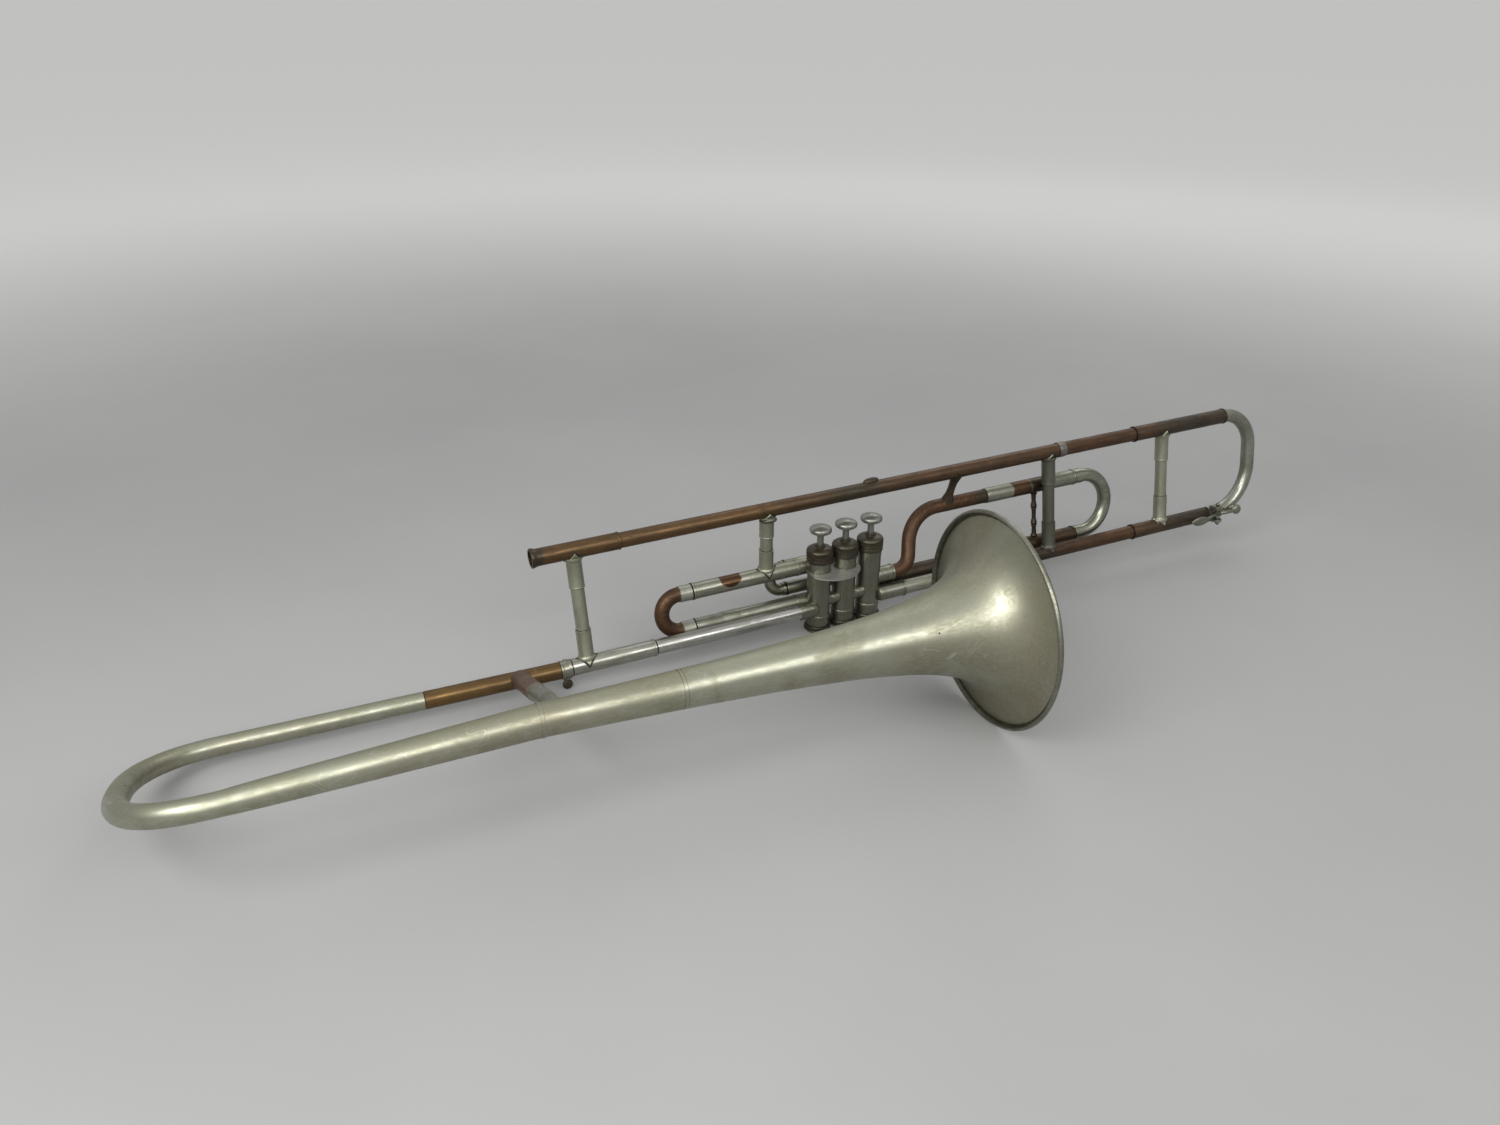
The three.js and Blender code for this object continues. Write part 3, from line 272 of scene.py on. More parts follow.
def mirrored(x0, x1, radius, steps, end_steps=None):
    """Steps (along, up) on a skin from x0 inward, and the same or others from x1 inward."""
    way = 1 if x1 > x0 else -1
    end_steps = steps if end_steps is None else end_steps
    skin = [(x0 + way * a, radius + up) for a, up in steps]
    return skin + [(x1 - way * a, radius + up) for a, up in reversed(end_steps)]


def hollow(bore, *skin):
    """The closed outline of a turned tube or ring with a straight bore."""
    return [(skin[0][0], bore), *skin, (skin[-1][0], bore), (skin[0][0], bore)]


def placed(part, matrix):
    points, faces = part
    return [tuple(matrix @ Vector(p)) for p in points], faces


def laid(part):
    return placed(part, slide_rest)


def along_x_at(part, y=0.0, z=0.0):
    """A turned shape laid along x, through (y, z)."""
    return placed(part, Matrix.Translation((0, y, z)) @ Matrix.Rotation(math.pi / 2, 4, "Y"))


def pushed(u, v, mid_u, mid_v, radius):
    """A point in a plane, pushed out of a circle about (mid_u, mid_v)."""
    grow = max(1.0, radius / max(math.hypot(u - mid_u, v - mid_v), 1e-6))
    return mid_u + (u - mid_u) * grow, mid_v + (v - mid_v) * grow


def kept_off(part, k, radius):
    """A part that lies on the floor, pushed out of an upright casing."""
    points, faces = part
    axis = to_casing(k).translation
    return [(*pushed(x, y, axis.x, axis.y, radius), z) for x, y, z in points], faces


def soldered(part, k):
    """A part laid on the floor, whose end stays inside the wall of casing k."""
    return kept_off(laid(part), k, casing_radius - 0.0003)


def closed_mesh(name, points, faces):
    """A mesh with all its faces turned outward."""
    mesh = bpy.data.meshes.new(name)
    mesh.from_pydata(points, [], faces)
    whole = bmesh.new()
    whole.from_mesh(mesh)
    bmesh.ops.recalc_face_normals(whole, faces=whole.faces)
    whole.to_mesh(mesh)
    whole.free()
    return mesh


def linked(name, data):
    """An object in the scene that shows a mesh, a lamp or a camera."""
    made = bpy.data.objects.new(name, data)
    bpy.context.scene.collection.objects.link(made)
    return made


def build(name, solid, parts, material, body="slide_frame", sharp=38.0):
    """A piece of the instrument made of closed shells, which stands for the solid named."""
    points, faces, kinds, picks = [], [], [material], []
    for some_points, some_faces, *own in parts:
        own = own[0] if own else material
        if own not in kinds:
            kinds.append(own)
        picks += [kinds.index(own)] * len(some_faces)
        faces += [[len(points) + i for i in face] for face in some_faces]
        points += some_points
    mesh = closed_mesh(name, points, faces)
    mesh.shade_smooth()
    mesh.set_sharp_from_angle(angle=math.radians(sharp))
    made = linked(name, mesh)
    for kind in kinds:
        mesh.materials.append(kind)
    mesh.polygons.foreach_set("material_index", picks)
    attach(made, body)
    if solid:
        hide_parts(solid)
    return made


ring_steps = [(0, 0.0005), (0.0013, 0.0005), (0.0014, -0.0002), (0.0019, -0.0002), (0.0020, 0)]


def ball_end(x0, x1, deep, steps=8):
    """A sleeve along x from an open end with a ring and a groove at x0 to a rounded end at x1."""
    way = 1 if x1 > x0 else -1
    dome = [(math.sin(a), math.cos(a)) for a in (math.pi / 2 * i / steps for i in range(steps + 1))]
    plain = x0 + way * 0.003
    stations = [plain + (x1 - plain) * i / 16 for i in range(16)]
    outline = [(x0, sleeve_bore)] + [(x0 + way * a, sleeve_radius + r) for a, r in ring_steps]
    inner_deep = deep - sleeve_radius + sleeve_bore
    for radius, reach, order in ((sleeve_radius, deep, 1), (sleeve_bore, inner_deep, -1)):
        skin = [(x, radius) for x in stations] + [(x1 + way * reach * s, radius * c) for s, c in dome]
        outline += skin[::order]
    return turned(outline + [(x0, sleeve_bore)], 48, 0.00015)


main_stub, main_stub_end = -0.0204, -0.0095
lower_stub, s_stub, third_stub_end, stub_deep = 0.0772, 0.0684, 0.0545, 0.0036
s_back, s_low = 0.0026, 0.0154
stubs = ([along_x_at(ball_end(main_stub, main_stub_end, sleeve_radius))], [],
    [along_x_at(ball_end(lower_stub, third_stub_end, stub_deep)),
    along_x_at(ball_end(s_stub, third_stub_end, stub_deep), s_back, s_low)])
low_band, high_band, band_edge = (0.0116, 0.0149), (0.0574, 0.0626), [(0, 0), (0.0003, 0.00026)]
casing_outline = hollow(casing_bore, (casing_foot, casing_radius),
    *mirrored(*low_band, casing_radius, band_edge), *mirrored(*high_band, casing_radius, band_edge),
    (casing_top, casing_radius))
knuckle_radius, knuckle_back, knuckle_up = 0.0049, 0.003, 0.005

for k in range(3):
    shell = turned(casing_outline, 96, 0.00015)
    parts = [placed(shell, to_casing(k))] + [soldered(stub, k) for stub in stubs[k]]
    if k < 2:
        near = k * casing_pitch + casing_radius
        far = near + casing_pitch - 2 * casing_radius + 0.003
        tube = turned([(near - 0.0045, 0), (near - 0.0045, knuckle_radius),
            (near + 0.0004, knuckle_radius), (near + 0.0006, knuckle_radius + 0.0006),
            (near + 0.0014, knuckle_radius + 0.0006), (near + 0.0016, knuckle_radius),
            (far, knuckle_radius), (far, 0)], 48, 0.0002)
        tube = soldered(along_x_at(tube, knuckle_back, knuckle_up), k)
        parts.append(kept_off(tube, k + 1, casing_radius + seam / 3))
    build(f"casing_{k + 1}", f"valve_casing_{k + 1}", parts, upright_nickel)


# Pistons, springs, stems and buttons
# A ground piston runs in each casing on a wire spring. Its stem comes up through the cap and a felt
# washer, and ends in a rubbed nickel button, undercut and domed on top.

piston_foot, piston_top, piston_radius = 0.0148, 0.0646, 0.0089
piston_wall = 0.0009
collar_top, stem_radius, stem_hole = 0.0676, 0.00275, 0.0031
bright_tones = ((0.42, 0.42, 0.39), (0.25, 0.25, 0.22), (0.66, 0.65, 0.62), (0.06, 0.05, 0.035),
    (0.32, 0.31, 0.27))
piston_metal = metal("ground_piston", bright_tones, rough=0.26, relief=0.04, way=round_z)
button_tones = ((0.33, 0.332, 0.300), (0.20, 0.20, 0.17), (0.56, 0.56, 0.52), (0.06, 0.05, 0.035),
    (0.25, 0.245, 0.21))
button_metal = metal("button_nickel", button_tones, rough=0.32, way=(1, 1, 1), wipe=0.2)
steel_tones = ((0.20, 0.19, 0.175), (0.12, 0.10, 0.085), (0.34, 0.33, 0.31), (0.05, 0.03, 0.02),
    (0.15, 0.13, 0.11))
steel = metal("spring_steel", steel_tones)


def cloth(name, tones, weave, rough=0.95):
    """Felt or cork: fibres or grains in three tones, with a soft relief."""
    material, tree, shader, here = blank(name)
    fibre = noise(tree, here, weave, 6.0, 0.75, 1.5)
    soil = ramp(tree, noise(tree, here, 240.0, 3.0), 0.4, 0.7)
    colour = mixed(tree, ramp(tree, fibre, 0.35, 0.65), tones[0], tones[1])
    tree.links.new(mixed(tree, soil, colour, tones[2]), shader.inputs["Base Color"])
    tree.links.new(ramp(tree, fibre, 0.2, 0.8, rough - 0.1, rough), shader.inputs["Roughness"])
    bump = node(tree, "Bump", {"Height": fibre, "Strength": 0.5, "Distance": 0.0006})
    tree.links.new(bump.outputs[0], shader.inputs["Normal"])
    return material


felt = cloth("stem_felt", ((0.10, 0.060, 0.036), (0.19, 0.125, 0.075), (0.045, 0.03, 0.02)), 2600.0)


def swept(line, radii, sides=40, wall=0.0, hint=(0, 1, 0)):
    """A tube or, with no wall, a rod along a line of points."""
    line = [Vector(p) for p in line]
    radii = radii if isinstance(radii, (list, tuple)) else [radii] * len(line)
    points, faces = [], []
    first = (line[1] - line[0]).normalized()
    across = Vector(hint) if abs(first.dot(Vector(hint))) < 0.9 else Vector((0, 0, 1))
    skins = 2 if wall else 1
    for i, p in enumerate(line):
        ahead = (line[min(i + 1, len(line) - 1)] - line[max(i - 1, 0)]).normalized()
        across = (across - ahead * across.dot(ahead)).normalized()
        up = ahead.cross(across)
        for s in range(skins):
            r = radii[i] - s * wall
            for j in range(sides):
                turn = 2 * math.pi * j / sides
                points.append(tuple(p + across * (r * math.cos(turn)) + up * (r * math.sin(turn))))

    def at(i, s, j):
        return (i * skins + s) * sides + j % sides

    for i in range(len(line) - 1):
        for s in range(skins):
            for j in range(sides):
                faces.append([at(i, s, j), at(i, s, j + 1), at(i + 1, s, j + 1), at(i + 1, s, j)])
    for i in (0, len(line) - 1):
        if wall:
            faces += [[at(i, 0, j), at(i, 0, j + 1), at(i, 1, j + 1), at(i, 1, j)] for j in range(sides)]
        else:
            faces.append([at(i, 0, j) for j in range(sides)])
    return points, faces


groove = [(0.020, 0), (0.0202, -0.0002), (0.0206, -0.0002), (0.0208, 0)]
inner = piston_radius - piston_wall
skirt = turned([(piston_foot, inner), (piston_foot, piston_radius),
    *[(a, piston_radius + r) for a, r in groove], (piston_top, piston_radius), (piston_top, 0),
    (piston_top - piston_wall, 0), (piston_top - piston_wall, inner), (piston_foot, inner)], 64, 0.0002)
button = turned([(piston_top + seam, 0), (piston_top + seam, 0.00625), (collar_top, 0.00625),
    (collar_top, stem_radius), (0.0853, stem_radius), (0.0871, stem_radius + 0.0002),
    (0.0874, stem_radius + 0.0012), (0.0876, 0.0068), (0.0879, 0.0081), (0.0885, 0.0088),
    (0.0893, 0.0091), (0.0906, 0.0091), (0.0914, 0.0088), (0.0921, 0.0080), (0.0928, 0.0060),
    (0.0934, 0.0034), (0.0937, 0.0014), (0.0938, 0)], 64, 0.0003)
washer = turned(hollow(stem_hole, (0.0679, 0.0060), (0.0697, 0.0060)), 48, 0.0005)
wire, spring_radius, turns, steps = 0.00055, 0.0070, 5, 200
low, high = 0.0023 + wire, piston_foot - seam - wire
helix = []
for i in range(steps + 1):
    turn = 2 * math.pi * turns * i / steps
    rise = min(1.0, max(0.0, (i / steps * turns - 0.8) / (turns - 1.6)))
    helix.append(((spring_radius - wire) * math.cos(turn), (spring_radius - wire) * math.sin(turn),
        low + (high - low) * rise))
coils = swept(helix, wire, 10, hint=(0, 0, 1))
for k in range(3):
    stand = to_casing(k)
    body = f"valve_{k + 1}"
    build(f"piston_body_{k + 1}", f"piston_{k + 1}", [placed(skirt, stand)], piston_metal, body=body)
    spring = build(f"coil_spring_{k + 1}", f"piston_spring_{k + 1}", [placed(coils, stand)], steel)
    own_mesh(spring)
    build(f"button_and_stem_{k + 1}", f"finger_button_{k + 1}", [placed(button, stand)], button_metal,
        body=body)
    build(f"felt_washer_{k + 1}", f"stem_felt_{k + 1}", [placed(washer, stand)], felt, body=body)


# Valve caps
# Turned brass caps gone dark brown. The top ones have a plain ring, a groove, a knurled band, a
# domed shoulder and a neck round the stem. The bottom ones are knurled cups that stand on the floor.

cap_radius, cap_inner, knurl_deep = 0.011, 0.01005, 0.00022
cap_metal = metal("tarnished_cap_brass", ((0.056, 0.046, 0.029), (0.078, 0.073, 0.051),
    (0.16, 0.130, 0.090), (0.013, 0.010, 0.008), (0.042, 0.036, 0.024)), rough=0.38, metallic=0.8,
    way=round_z)
top_skin = [(0.0626, -0.0002), (0.0640, -0.0001), (0.0656, -0.0002), (0.0658, -0.0007),
    (0.0666, -0.0007), (0.0668, 0), (0.0681, 0), (0.0682, -0.0005), (0.0686, -0.0005), (0.0687, 0),
    (0.0689, 0), (0.0717, 0), (0.0720, 0), (0.0726, -0.0002), (0.0732, -0.0006), (0.0741, -0.0018),
    (0.0747, -0.0034)]
neck = [(0.0751, 0.0057), (0.0752, 0.0047), (0.0755, 0.0043), (0.0768, 0.0043), (0.0770, 0.0040)]
inside = [(0.0770, stem_hole), (0.0708, stem_hole), (0.0704, 0.0093), (0.0701, cap_inner)]
top = [(0.0626, cap_inner), *[(a, cap_radius + r) for a, r in top_skin], *neck, *inside,
    (0.0626, cap_inner)]
cup_skin = [(0.0008, 0), (0.0013, 0), (0.0015, -0.0003), (0.0018, -0.0003), (0.0020, 0), (0.0042, 0),
    (0.0046, 0), (0.0052, -0.0003)]
bottom = [(0, 0), (0, 0.0016), (0.0003, 0.0020), (0.0003, 0.0082), (0, 0.0088), (0, 0.0102),
    *[(a, cap_radius + r) for a, r in cup_skin], (0.0052, cap_inner), (0.0020, cap_inner), (0.0020, 0)]
for k in range(3):
    for end, outline, knurl in (("top", top, (0.0688, 0.0718, knurl_deep)),
            ("bottom", bottom, (0.0019, 0.0043, knurl_deep))):
        cap = placed(turned(outline, 240, 0.00012, knurl), to_casing(k))
        build(f"{end}_cap_{k + 1}_turned", f"{end}_cap_{k + 1}", [cap], cap_metal)


# Hand plate
# A thin crescent of nickel sheet, soldered across the front of the first two casings, for the hand
# to steady on, rubbed bright by it.

plate_up, plate_thick = 0.0534, 0.0012
plate_half_wide, plate_reach, plate_shift, plate_left = 0.0246, 0.0234, 0.001, 0.0218
plate_mid = (to_casing(0).translation + to_casing(1).translation) / 2
disc, disc_faces = turned([(0, 0), (0, 1), (plate_thick, 1), (plate_thick, 0)], 144, 0)
points = [(plate_mid.x - plate_shift + plate_half_wide * x, plate_mid.y + plate_reach * y, plate_up + z)
    for x, y, z in disc]
plate_metal = metal("hand_plate_nickel", bright_tones, 0.46, 0.75, relief=0.05, way=(1, 1, 1))
plate_made = build("hand_rest_plate", "hand_plate", [(points, disc_faces)], plate_metal)
round_casings = [placed(turned([(-0.05, 0), (-0.05, casing_radius + seam), (0.15, casing_radius + seam),
    (0.15, 0)], 96, 0), to_casing(k)) for k in (0, 1)]


def carved(made, *tools):
    """Cuts closed shells out of a piece."""
    for part in tools:
        tool = linked("tool", closed_mesh("tool", *part))
        cut = made.modifiers.new("cut", "BOOLEAN")
        cut.operation, cut.solver, cut.object = "DIFFERENCE", "EXACT", tool
        bpy.context.view_layer.update()
        done = bpy.data.meshes.new_from_object(made.evaluated_get(bpy.context.evaluated_depsgraph_get()))
        made.modifiers.clear()
        made.data = done
        done.set_sharp_from_angle(angle=math.radians(30))
        bpy.data.objects.remove(tool)
    return made


def block(x0, x1, y0, y1):
    """A tall block to cut with."""
    corners = ((x0, y0), (x1, y0), (x1, y1), (x0, y1))
    sides = [[3, 2, 1, 0], [4, 5, 6, 7], [0, 1, 5, 4], [1, 2, 6, 5], [2, 3, 7, 6], [3, 0, 4, 7]]
    return [(plate_mid.x + x, plate_mid.y + y, h) for h in (0.0, 0.1) for x, y in corners], sides


carved(plate_made, *round_casings, block(-0.08, 0.08, 0.0025, 0.06),
    block(-0.06, -plate_left, -0.06, 0.06))
edge = plate_made.modifiers.new("edge", "BEVEL")
edge.width, edge.segments, edge.limit_method = 0.0003, 2, "ANGLE"


# Mouthpiece receiver and the long tubes
# Drawn tubes whose plate has worn down to copper brown. The receiver has a rolled lip and a ring,
# and the lower tube is still nickel next to the valves.

span = 0.0917
tube_radius, tube_wall = 0.006, 0.00045
upper_ends, lower_ends, main_ends = (-0.1923, 0.4016), (0.06245, 0.3960), (-0.1521, -0.01605)
main_sleeve_ends, repair_ends = (-0.2137, -0.1461), (0.2356, 0.2426)
receiver = [(-0.2326, 0.0058), (-0.2326, 0.0072), (-0.2322, 0.0075), (-0.2310, 0.0075),
    (-0.2300, 0.0073), (-0.2286, 0.00672), (-0.2270, sleeve_radius), (-0.1658, sleeve_radius),
    (-0.1656, 0.00695), (-0.1645, 0.00695), (-0.1643, sleeve_radius), (-0.1643, sleeve_bore),
    (-0.1926, sleeve_bore), (-0.1926, 0.0053), (-0.2326, 0.0058)]
copper_tones = ((0.080, 0.046, 0.024), (0.045, 0.029, 0.018), (0.18, 0.098, 0.050),
    (0.016, 0.012, 0.010), (0.057, 0.039, 0.024))
gold_tones = ((0.110, 0.062, 0.027), (0.062, 0.037, 0.018), (0.23, 0.135, 0.060), (0.025, 0.016, 0.011),
    (0.082, 0.050, 0.024))
red_tones = ((0.094, 0.048, 0.024), (0.053, 0.031, 0.018), (0.18, 0.098, 0.050), (0.022, 0.014, 0.010),
    (0.070, 0.039, 0.021))
brown_tones = ((0.056, 0.041, 0.025), (0.033, 0.026, 0.017), (0.115, 0.085, 0.052),
    (0.014, 0.011, 0.008), (0.045, 0.037, 0.024))
# A flat near-black for painted shadow: it darkens each tube where it goes into a ring, sleeve or collar, as
# the gap there would be shaded.
gap_shadow_tones = ((0.014, 0.012, 0.010),) * 5
nickel_tones = ((0.31, 0.315, 0.268), (0.195, 0.198, 0.150), (0.52, 0.52, 0.480), (0.045, 0.038, 0.025),
    (0.215, 0.205, 0.150))
lip_brown = (brown_tones, -0.2350, -0.2235, 0.0025, 0.012)
receiver_metal = metal("receiver_brass", gold_tones, 0.40, 0.8, patches=[lip_brown])
build("mouthpiece_receiver_tube", "mouthpiece_receiver",
    [laid(along_x_at(turned(receiver, 56, 0.0002), 0, span))], receiver_metal)


def straight(x0, x1, z=0.0, radius=tube_radius, wall=tube_wall):
    """A straight tube along x with softened ends."""
    ease = 0.00012
    inward = math.copysign(ease, x1 - x0)
    stations = max(2, int(abs(x1 - x0) / 0.02))
    between = [x0 + (x1 - x0) * i / stations for i in range(1, stations)]
    xs = [x0, x0 + inward, *between, x1 - inward, x1]
    radii = [radius - ease] + [radius] * (len(xs) - 2) + [radius - ease]
    return swept([(x, 0, z) for x in xs], radii, 40, wall - ease)


# The last patch is a painted shadow at the mouth of the upper front sleeve.
upper_metal = metal("upper_tube_copper", copper_tones, 0.42, 0.75,
    patches=[(gold_tones, -0.20, -0.03, 0.03, 0.02), (brown_tones, 0.012, 0.060, 0.012, 0.03),
    (red_tones, 0.240, 0.325, 0.012, 0.02), (gap_shadow_tones, 0.3184, 0.3200, 0.0001, 0.0004)])
build("upper_tube_long", "upper_long_tube", [laid(straight(*upper_ends, span))], upper_metal)
# The last patch is a painted shadow at the mouth of the lower front sleeve.
lower_metal = metal("lower_tube_worn", copper_tones, 0.42, 0.78,
    patches=[(nickel_tones, 0.02, 0.112, 0.006, 0.03), (brown_tones, 0.135, 0.228, 0.012, 0.03),
    (red_tones, 0.285, 0.325, 0.01, 0.02), (gap_shadow_tones, 0.3180, 0.3195, 0.0001, 0.0004)])
build("lower_tube_long", "lower_long_tube", [laid(straight(*lower_ends))], lower_metal)
# The patch is a painted shadow where the main tube leaves its sleeve.
main_metal = metal("main_tube_nickel", bright_tones, 0.28, relief=0.06, way=(0.04, 1, 1), wipe=0.5,
    patches=[(gap_shadow_tones, -0.148, -0.1449, 0.0001, 0.0004)])
build("main_tube_rubbed", "main_tube", [laid(straight(*main_ends))], main_metal)


def ringed_sleeve(x0, x1, y=0.0, z=0.0, rings="", bore=sleeve_bore, radius=sleeve_radius):
    """A sleeve along x. At the ends named in rings, where another tube goes in, it has a small ring."""
    start, end = (ring_steps if name in rings else [(0, 0)] for name in ("start", "end"))
    outline = hollow(bore, *mirrored(x0, x1, radius, start, end))
    return laid(along_x_at(turned(outline, 48, 0.00018), y, z))


sleeve_tones = ((0.37, 0.374, 0.335), (0.23, 0.233, 0.190), (0.60, 0.60, 0.56), (0.05, 0.042, 0.03),
    (0.27, 0.265, 0.215))
# The patch is a painted shadow at the sleeve's end, next to the clamp collar.
main_sleeve_metal = metal("main_sleeve_nickel", sleeve_tones, 0.30, wipe=0.35,
    patches=[(gap_shadow_tones, -0.216, -0.2131, 0.0001, 0.0006)])
build("main_tube_outer_sleeve", "main_tube_sleeve", [ringed_sleeve(*main_sleeve_ends, rings="end")],
    main_sleeve_metal)
build("repair_sleeve_ring", "repair_sleeve", [ringed_sleeve(*repair_ends, z=span)],
    metal("solder_grey", steel_tones, 0.42))


# Solder lug on the upper tube
# A lump of old solder, burnt dark brown, on the side of the upper tube that looks away from the
# lower one. It sits on the tube's skin, level with the third valve.


def lump(centre, half, seed, sides=28, rough=0.10):
    """An uneven blob with its own seed."""
    rng = np.random.default_rng(seed)
    waves = [(rng.normal(size=3) * 2.2, rng.uniform(0, 6.28)) for _ in range(6)]
    points, faces = [], []
    rows = sides // 2
    for i in range(rows + 1):
        tilt = math.pi * i / rows
        for j in range(sides):
            turn = 2 * math.pi * j / sides
            d = np.array([math.sin(tilt) * math.cos(turn), math.sin(tilt) * math.sin(turn),
                math.cos(tilt)])
            grow = 1 - rough + rough * sum(math.sin(float(w @ d) + p) for w, p in waves) / 3
            points.append(tuple(Vector(centre) + Vector(d * grow * np.array(half))))
    for i in range(rows):
        for j in range(sides):
            faces.append([i * sides + j, i * sides + (j + 1) % sides, (i + 1) * sides + (j + 1) % sides,
                (i + 1) * sides + j])
    return points, faces


def on_tube(part, axis, radius):
    """A part in the slide frame, pushed out of a tube along x through the point axis."""
    points, faces = part
    return [(x, *pushed(y, z, axis[1], axis[2], radius)) for x, y, z in points], faces


lug = lump((0.052, 0, span + tube_radius), (0.0075, 0.003, 0.0034), 4, 32, 0.06)
build("solder_lug_on_tube", "upper_tube_lug", [laid(on_tube(lug, (0, 0, span), tube_radius + 0.0002))],
    metal("burnt_lug", brown_tones, 0.5, 0.7))


# S-curve tube
# A red copper tube, bent up from the third valve's stub to the level of the third slide, where it
# meets the slide's upper leg.


def route(corners, radii, step=5.0):
    """A line whose corners are rounded to the radii given."""
    corners = [Vector(c) for c in corners]
    line = [corners[0]]
    for i, radius in enumerate(radii, start=1):
        back = (corners[i - 1] - corners[i]).normalized()
        on = (corners[i + 1] - corners[i]).normalized()
        half = back.angle(on) / 2
        centre = corners[i] + (back + on).normalized() * (radius / math.sin(half))
        start = corners[i] + back * (radius / math.tan(half)) - centre
        end = corners[i] + on * (radius / math.tan(half)) - centre
        turn, axis = start.angle(end), start.cross(end).normalized()
        steps = max(3, round(math.degrees(turn) / step))
        line += [centre + Matrix.Rotation(turn * j / steps, 3, axis) @ start for j in range(steps + 1)]
    return line + [corners[-1]]


third_back, third_high, third_low = 0.014, 0.0597, 0.0065
s_start, s_low_bend, s_high_bend, s_end = s_stub + seam, 0.0840, 0.095, 0.1696
s_line = route([(s_start, s_back, s_low), (s_low_bend, s_back, s_low),
    (s_high_bend, third_back, third_high), (s_end, third_back, third_high)], [0.014, 0.032])
s_metal = metal("s_curve_copper", red_tones, 0.50, 0.8, way=(1, 1, 1),
    patches=[(brown_tones, 0.158, 0.18, 0.004, 0.01)])
build("s_curve", "s_curve_tube", [laid(swept(s_line, tube_radius, 44, tube_wall))], s_metal)


# Slides of the valves
# Each has two fixed legs and a bow whose inner legs draw out of them. The legs end in a ring and
# the bow in ferrules. The first bow is bare copper, and a patch on its upper leg has lost its plate.

first_ring, first_back, first_high, first_low = -0.1069, 0.013, 0.0338, 0.0037
lower_leg_end, collar_long = -0.0062, 0.0022
second_ring, second_back, second_high, second_low = -0.0204, 0.0248, 0.0324, 0.0134
small_radius, small_sleeve, small_bore = 0.0049, 0.0055, 0.00505
third_ring = 0.2633


def elbow_leg(k, ring, y, z, bend, radius=sleeve_radius, bore=sleeve_bore):
    """A fixed leg from its ring to an elbow that turns into casing k."""
    middle, kept_clear = k * casing_pitch, 0.0052
    line = route([(ring, y, z), (middle, y, z), (middle, casing_back + kept_clear + seam, z)], [bend],
        6.0)
    inside = [i for i, p in enumerate(line) if math.hypot(p.x - middle, p.y - casing_back) < kept_clear]
    line = line[: inside[0]] if inside else line
    lead = [(ring + a, y, z) for a, _ in ring_steps]
    radii = [radius + r for _, r in ring_steps] + [radius] * (len(line) - 1)
    return soldered(swept(lead + line[1:], radii, 44, radius - bore - 0.00022), k)


def first_collar(x, long, z):
    """A thin collar on a leg of the first slide."""
    return ringed_sleeve(x, x + long, first_back, z, "", sleeve_radius - 0.0001, sleeve_radius + 0.0003)


nickel = metal("worn_nickel_silver", nickel_tones)
leg_metal = metal("first_leg_nickel", nickel_tones,
    patches=[(red_tones, -0.0834, -0.0654, 0.0005, 0.004, 0.0322, 0.005)])
build("first_slide_leg_upper", "first_slide_upper_leg",
    [elbow_leg(0, first_ring, first_back, first_high, 0.0072),
    first_collar(-0.016, collar_long, first_high)], leg_metal)
lower_leg = along_x_at(ball_end(first_ring, lower_leg_end, stub_deep), first_back, first_low)
build("first_slide_leg_lower", "first_slide_lower_leg", [soldered(lower_leg, 0),
    first_collar(-0.0838, 0.0141, first_low), first_collar(-0.0182, collar_long, first_low)],
    metal("first_lower_leg_nickel", upright_tones, 0.40))
for side, z in (("upper", second_high), ("lower", second_low)):
    build(f"second_slide_leg_{side}", f"second_slide_{side}_leg",
        [elbow_leg(1, second_ring, second_back, z, 0.009, small_sleeve, small_bore)], nickel)
third_metal = metal("third_leg_worn", upright_tones, 0.40, 0.85,
    patches=[(red_tones, 0.1966, 0.2146, 0.0004, 0.004), (brown_tones, 0.2146, 0.234, 0.003, 0.008)])
build("third_slide_leg_upper", "third_slide_upper_leg",
    [ringed_sleeve(s_end + seam, third_ring, third_back, third_high, "end")], third_metal)
third_leg = along_x_at(ball_end(third_ring, 2 * casing_pitch + casing_radius, sleeve_radius),
    third_back, third_low)
third_lower_metal = metal("third_lower_leg_brown", brown_tones, 0.42, 0.75,
    patches=[(copper_tones, 0.215, 0.27, 0.01, 0.02)])
build("third_slide_leg_lower", "third_slide_lower_leg", [soldered(third_leg, 2)], third_lower_metal)
line_gap = 0.0008


def painted_gap_shadow(ring, way):
    """A painted shadow on the inner leg, in the gap where it leaves the ring."""
    ends = sorted((ring - way * 0.002, ring + way * (line_gap + 0.00005)))
    return gap_shadow_tones, *ends, 0.00005, 0.0001


def slide_bow(ring, way, ferrule, insert, y, high, low, radius=tube_radius, outer=sleeve_radius):
    """A bow with a ferrule and an inner leg on each end."""
    turn = (high - low) / 2
    ease = 0.0002
    start = ring + way * line_gap
    end = ring + way * (seam + ferrule)
    stations = [(ring - way * insert, radius - ease), (ring - way * (insert - ease), radius),
        (start - way * ease / 4, radius), (start, outer - ease), (start + way * ease, outer),
        (end - way * ease, outer), (end, outer - ease), (end + way * ease / 4, radius)]
    near, far = end + way * seam, end + way * (2 * seam + turn)
    bend = route([(near, y, high), (far, y, high), (far, y, low), (near, y, low)],
        [turn - seam / 2] * 2)[1:-1]
    line = [(x, y, high) for x, _ in stations] + bend + [(x, y, low) for x, _ in reversed(stations)]
    radii = [r for _, r in stations]
    return laid(swept(line, radii + [radius] * len(bend) + radii[::-1], 44, tube_wall))


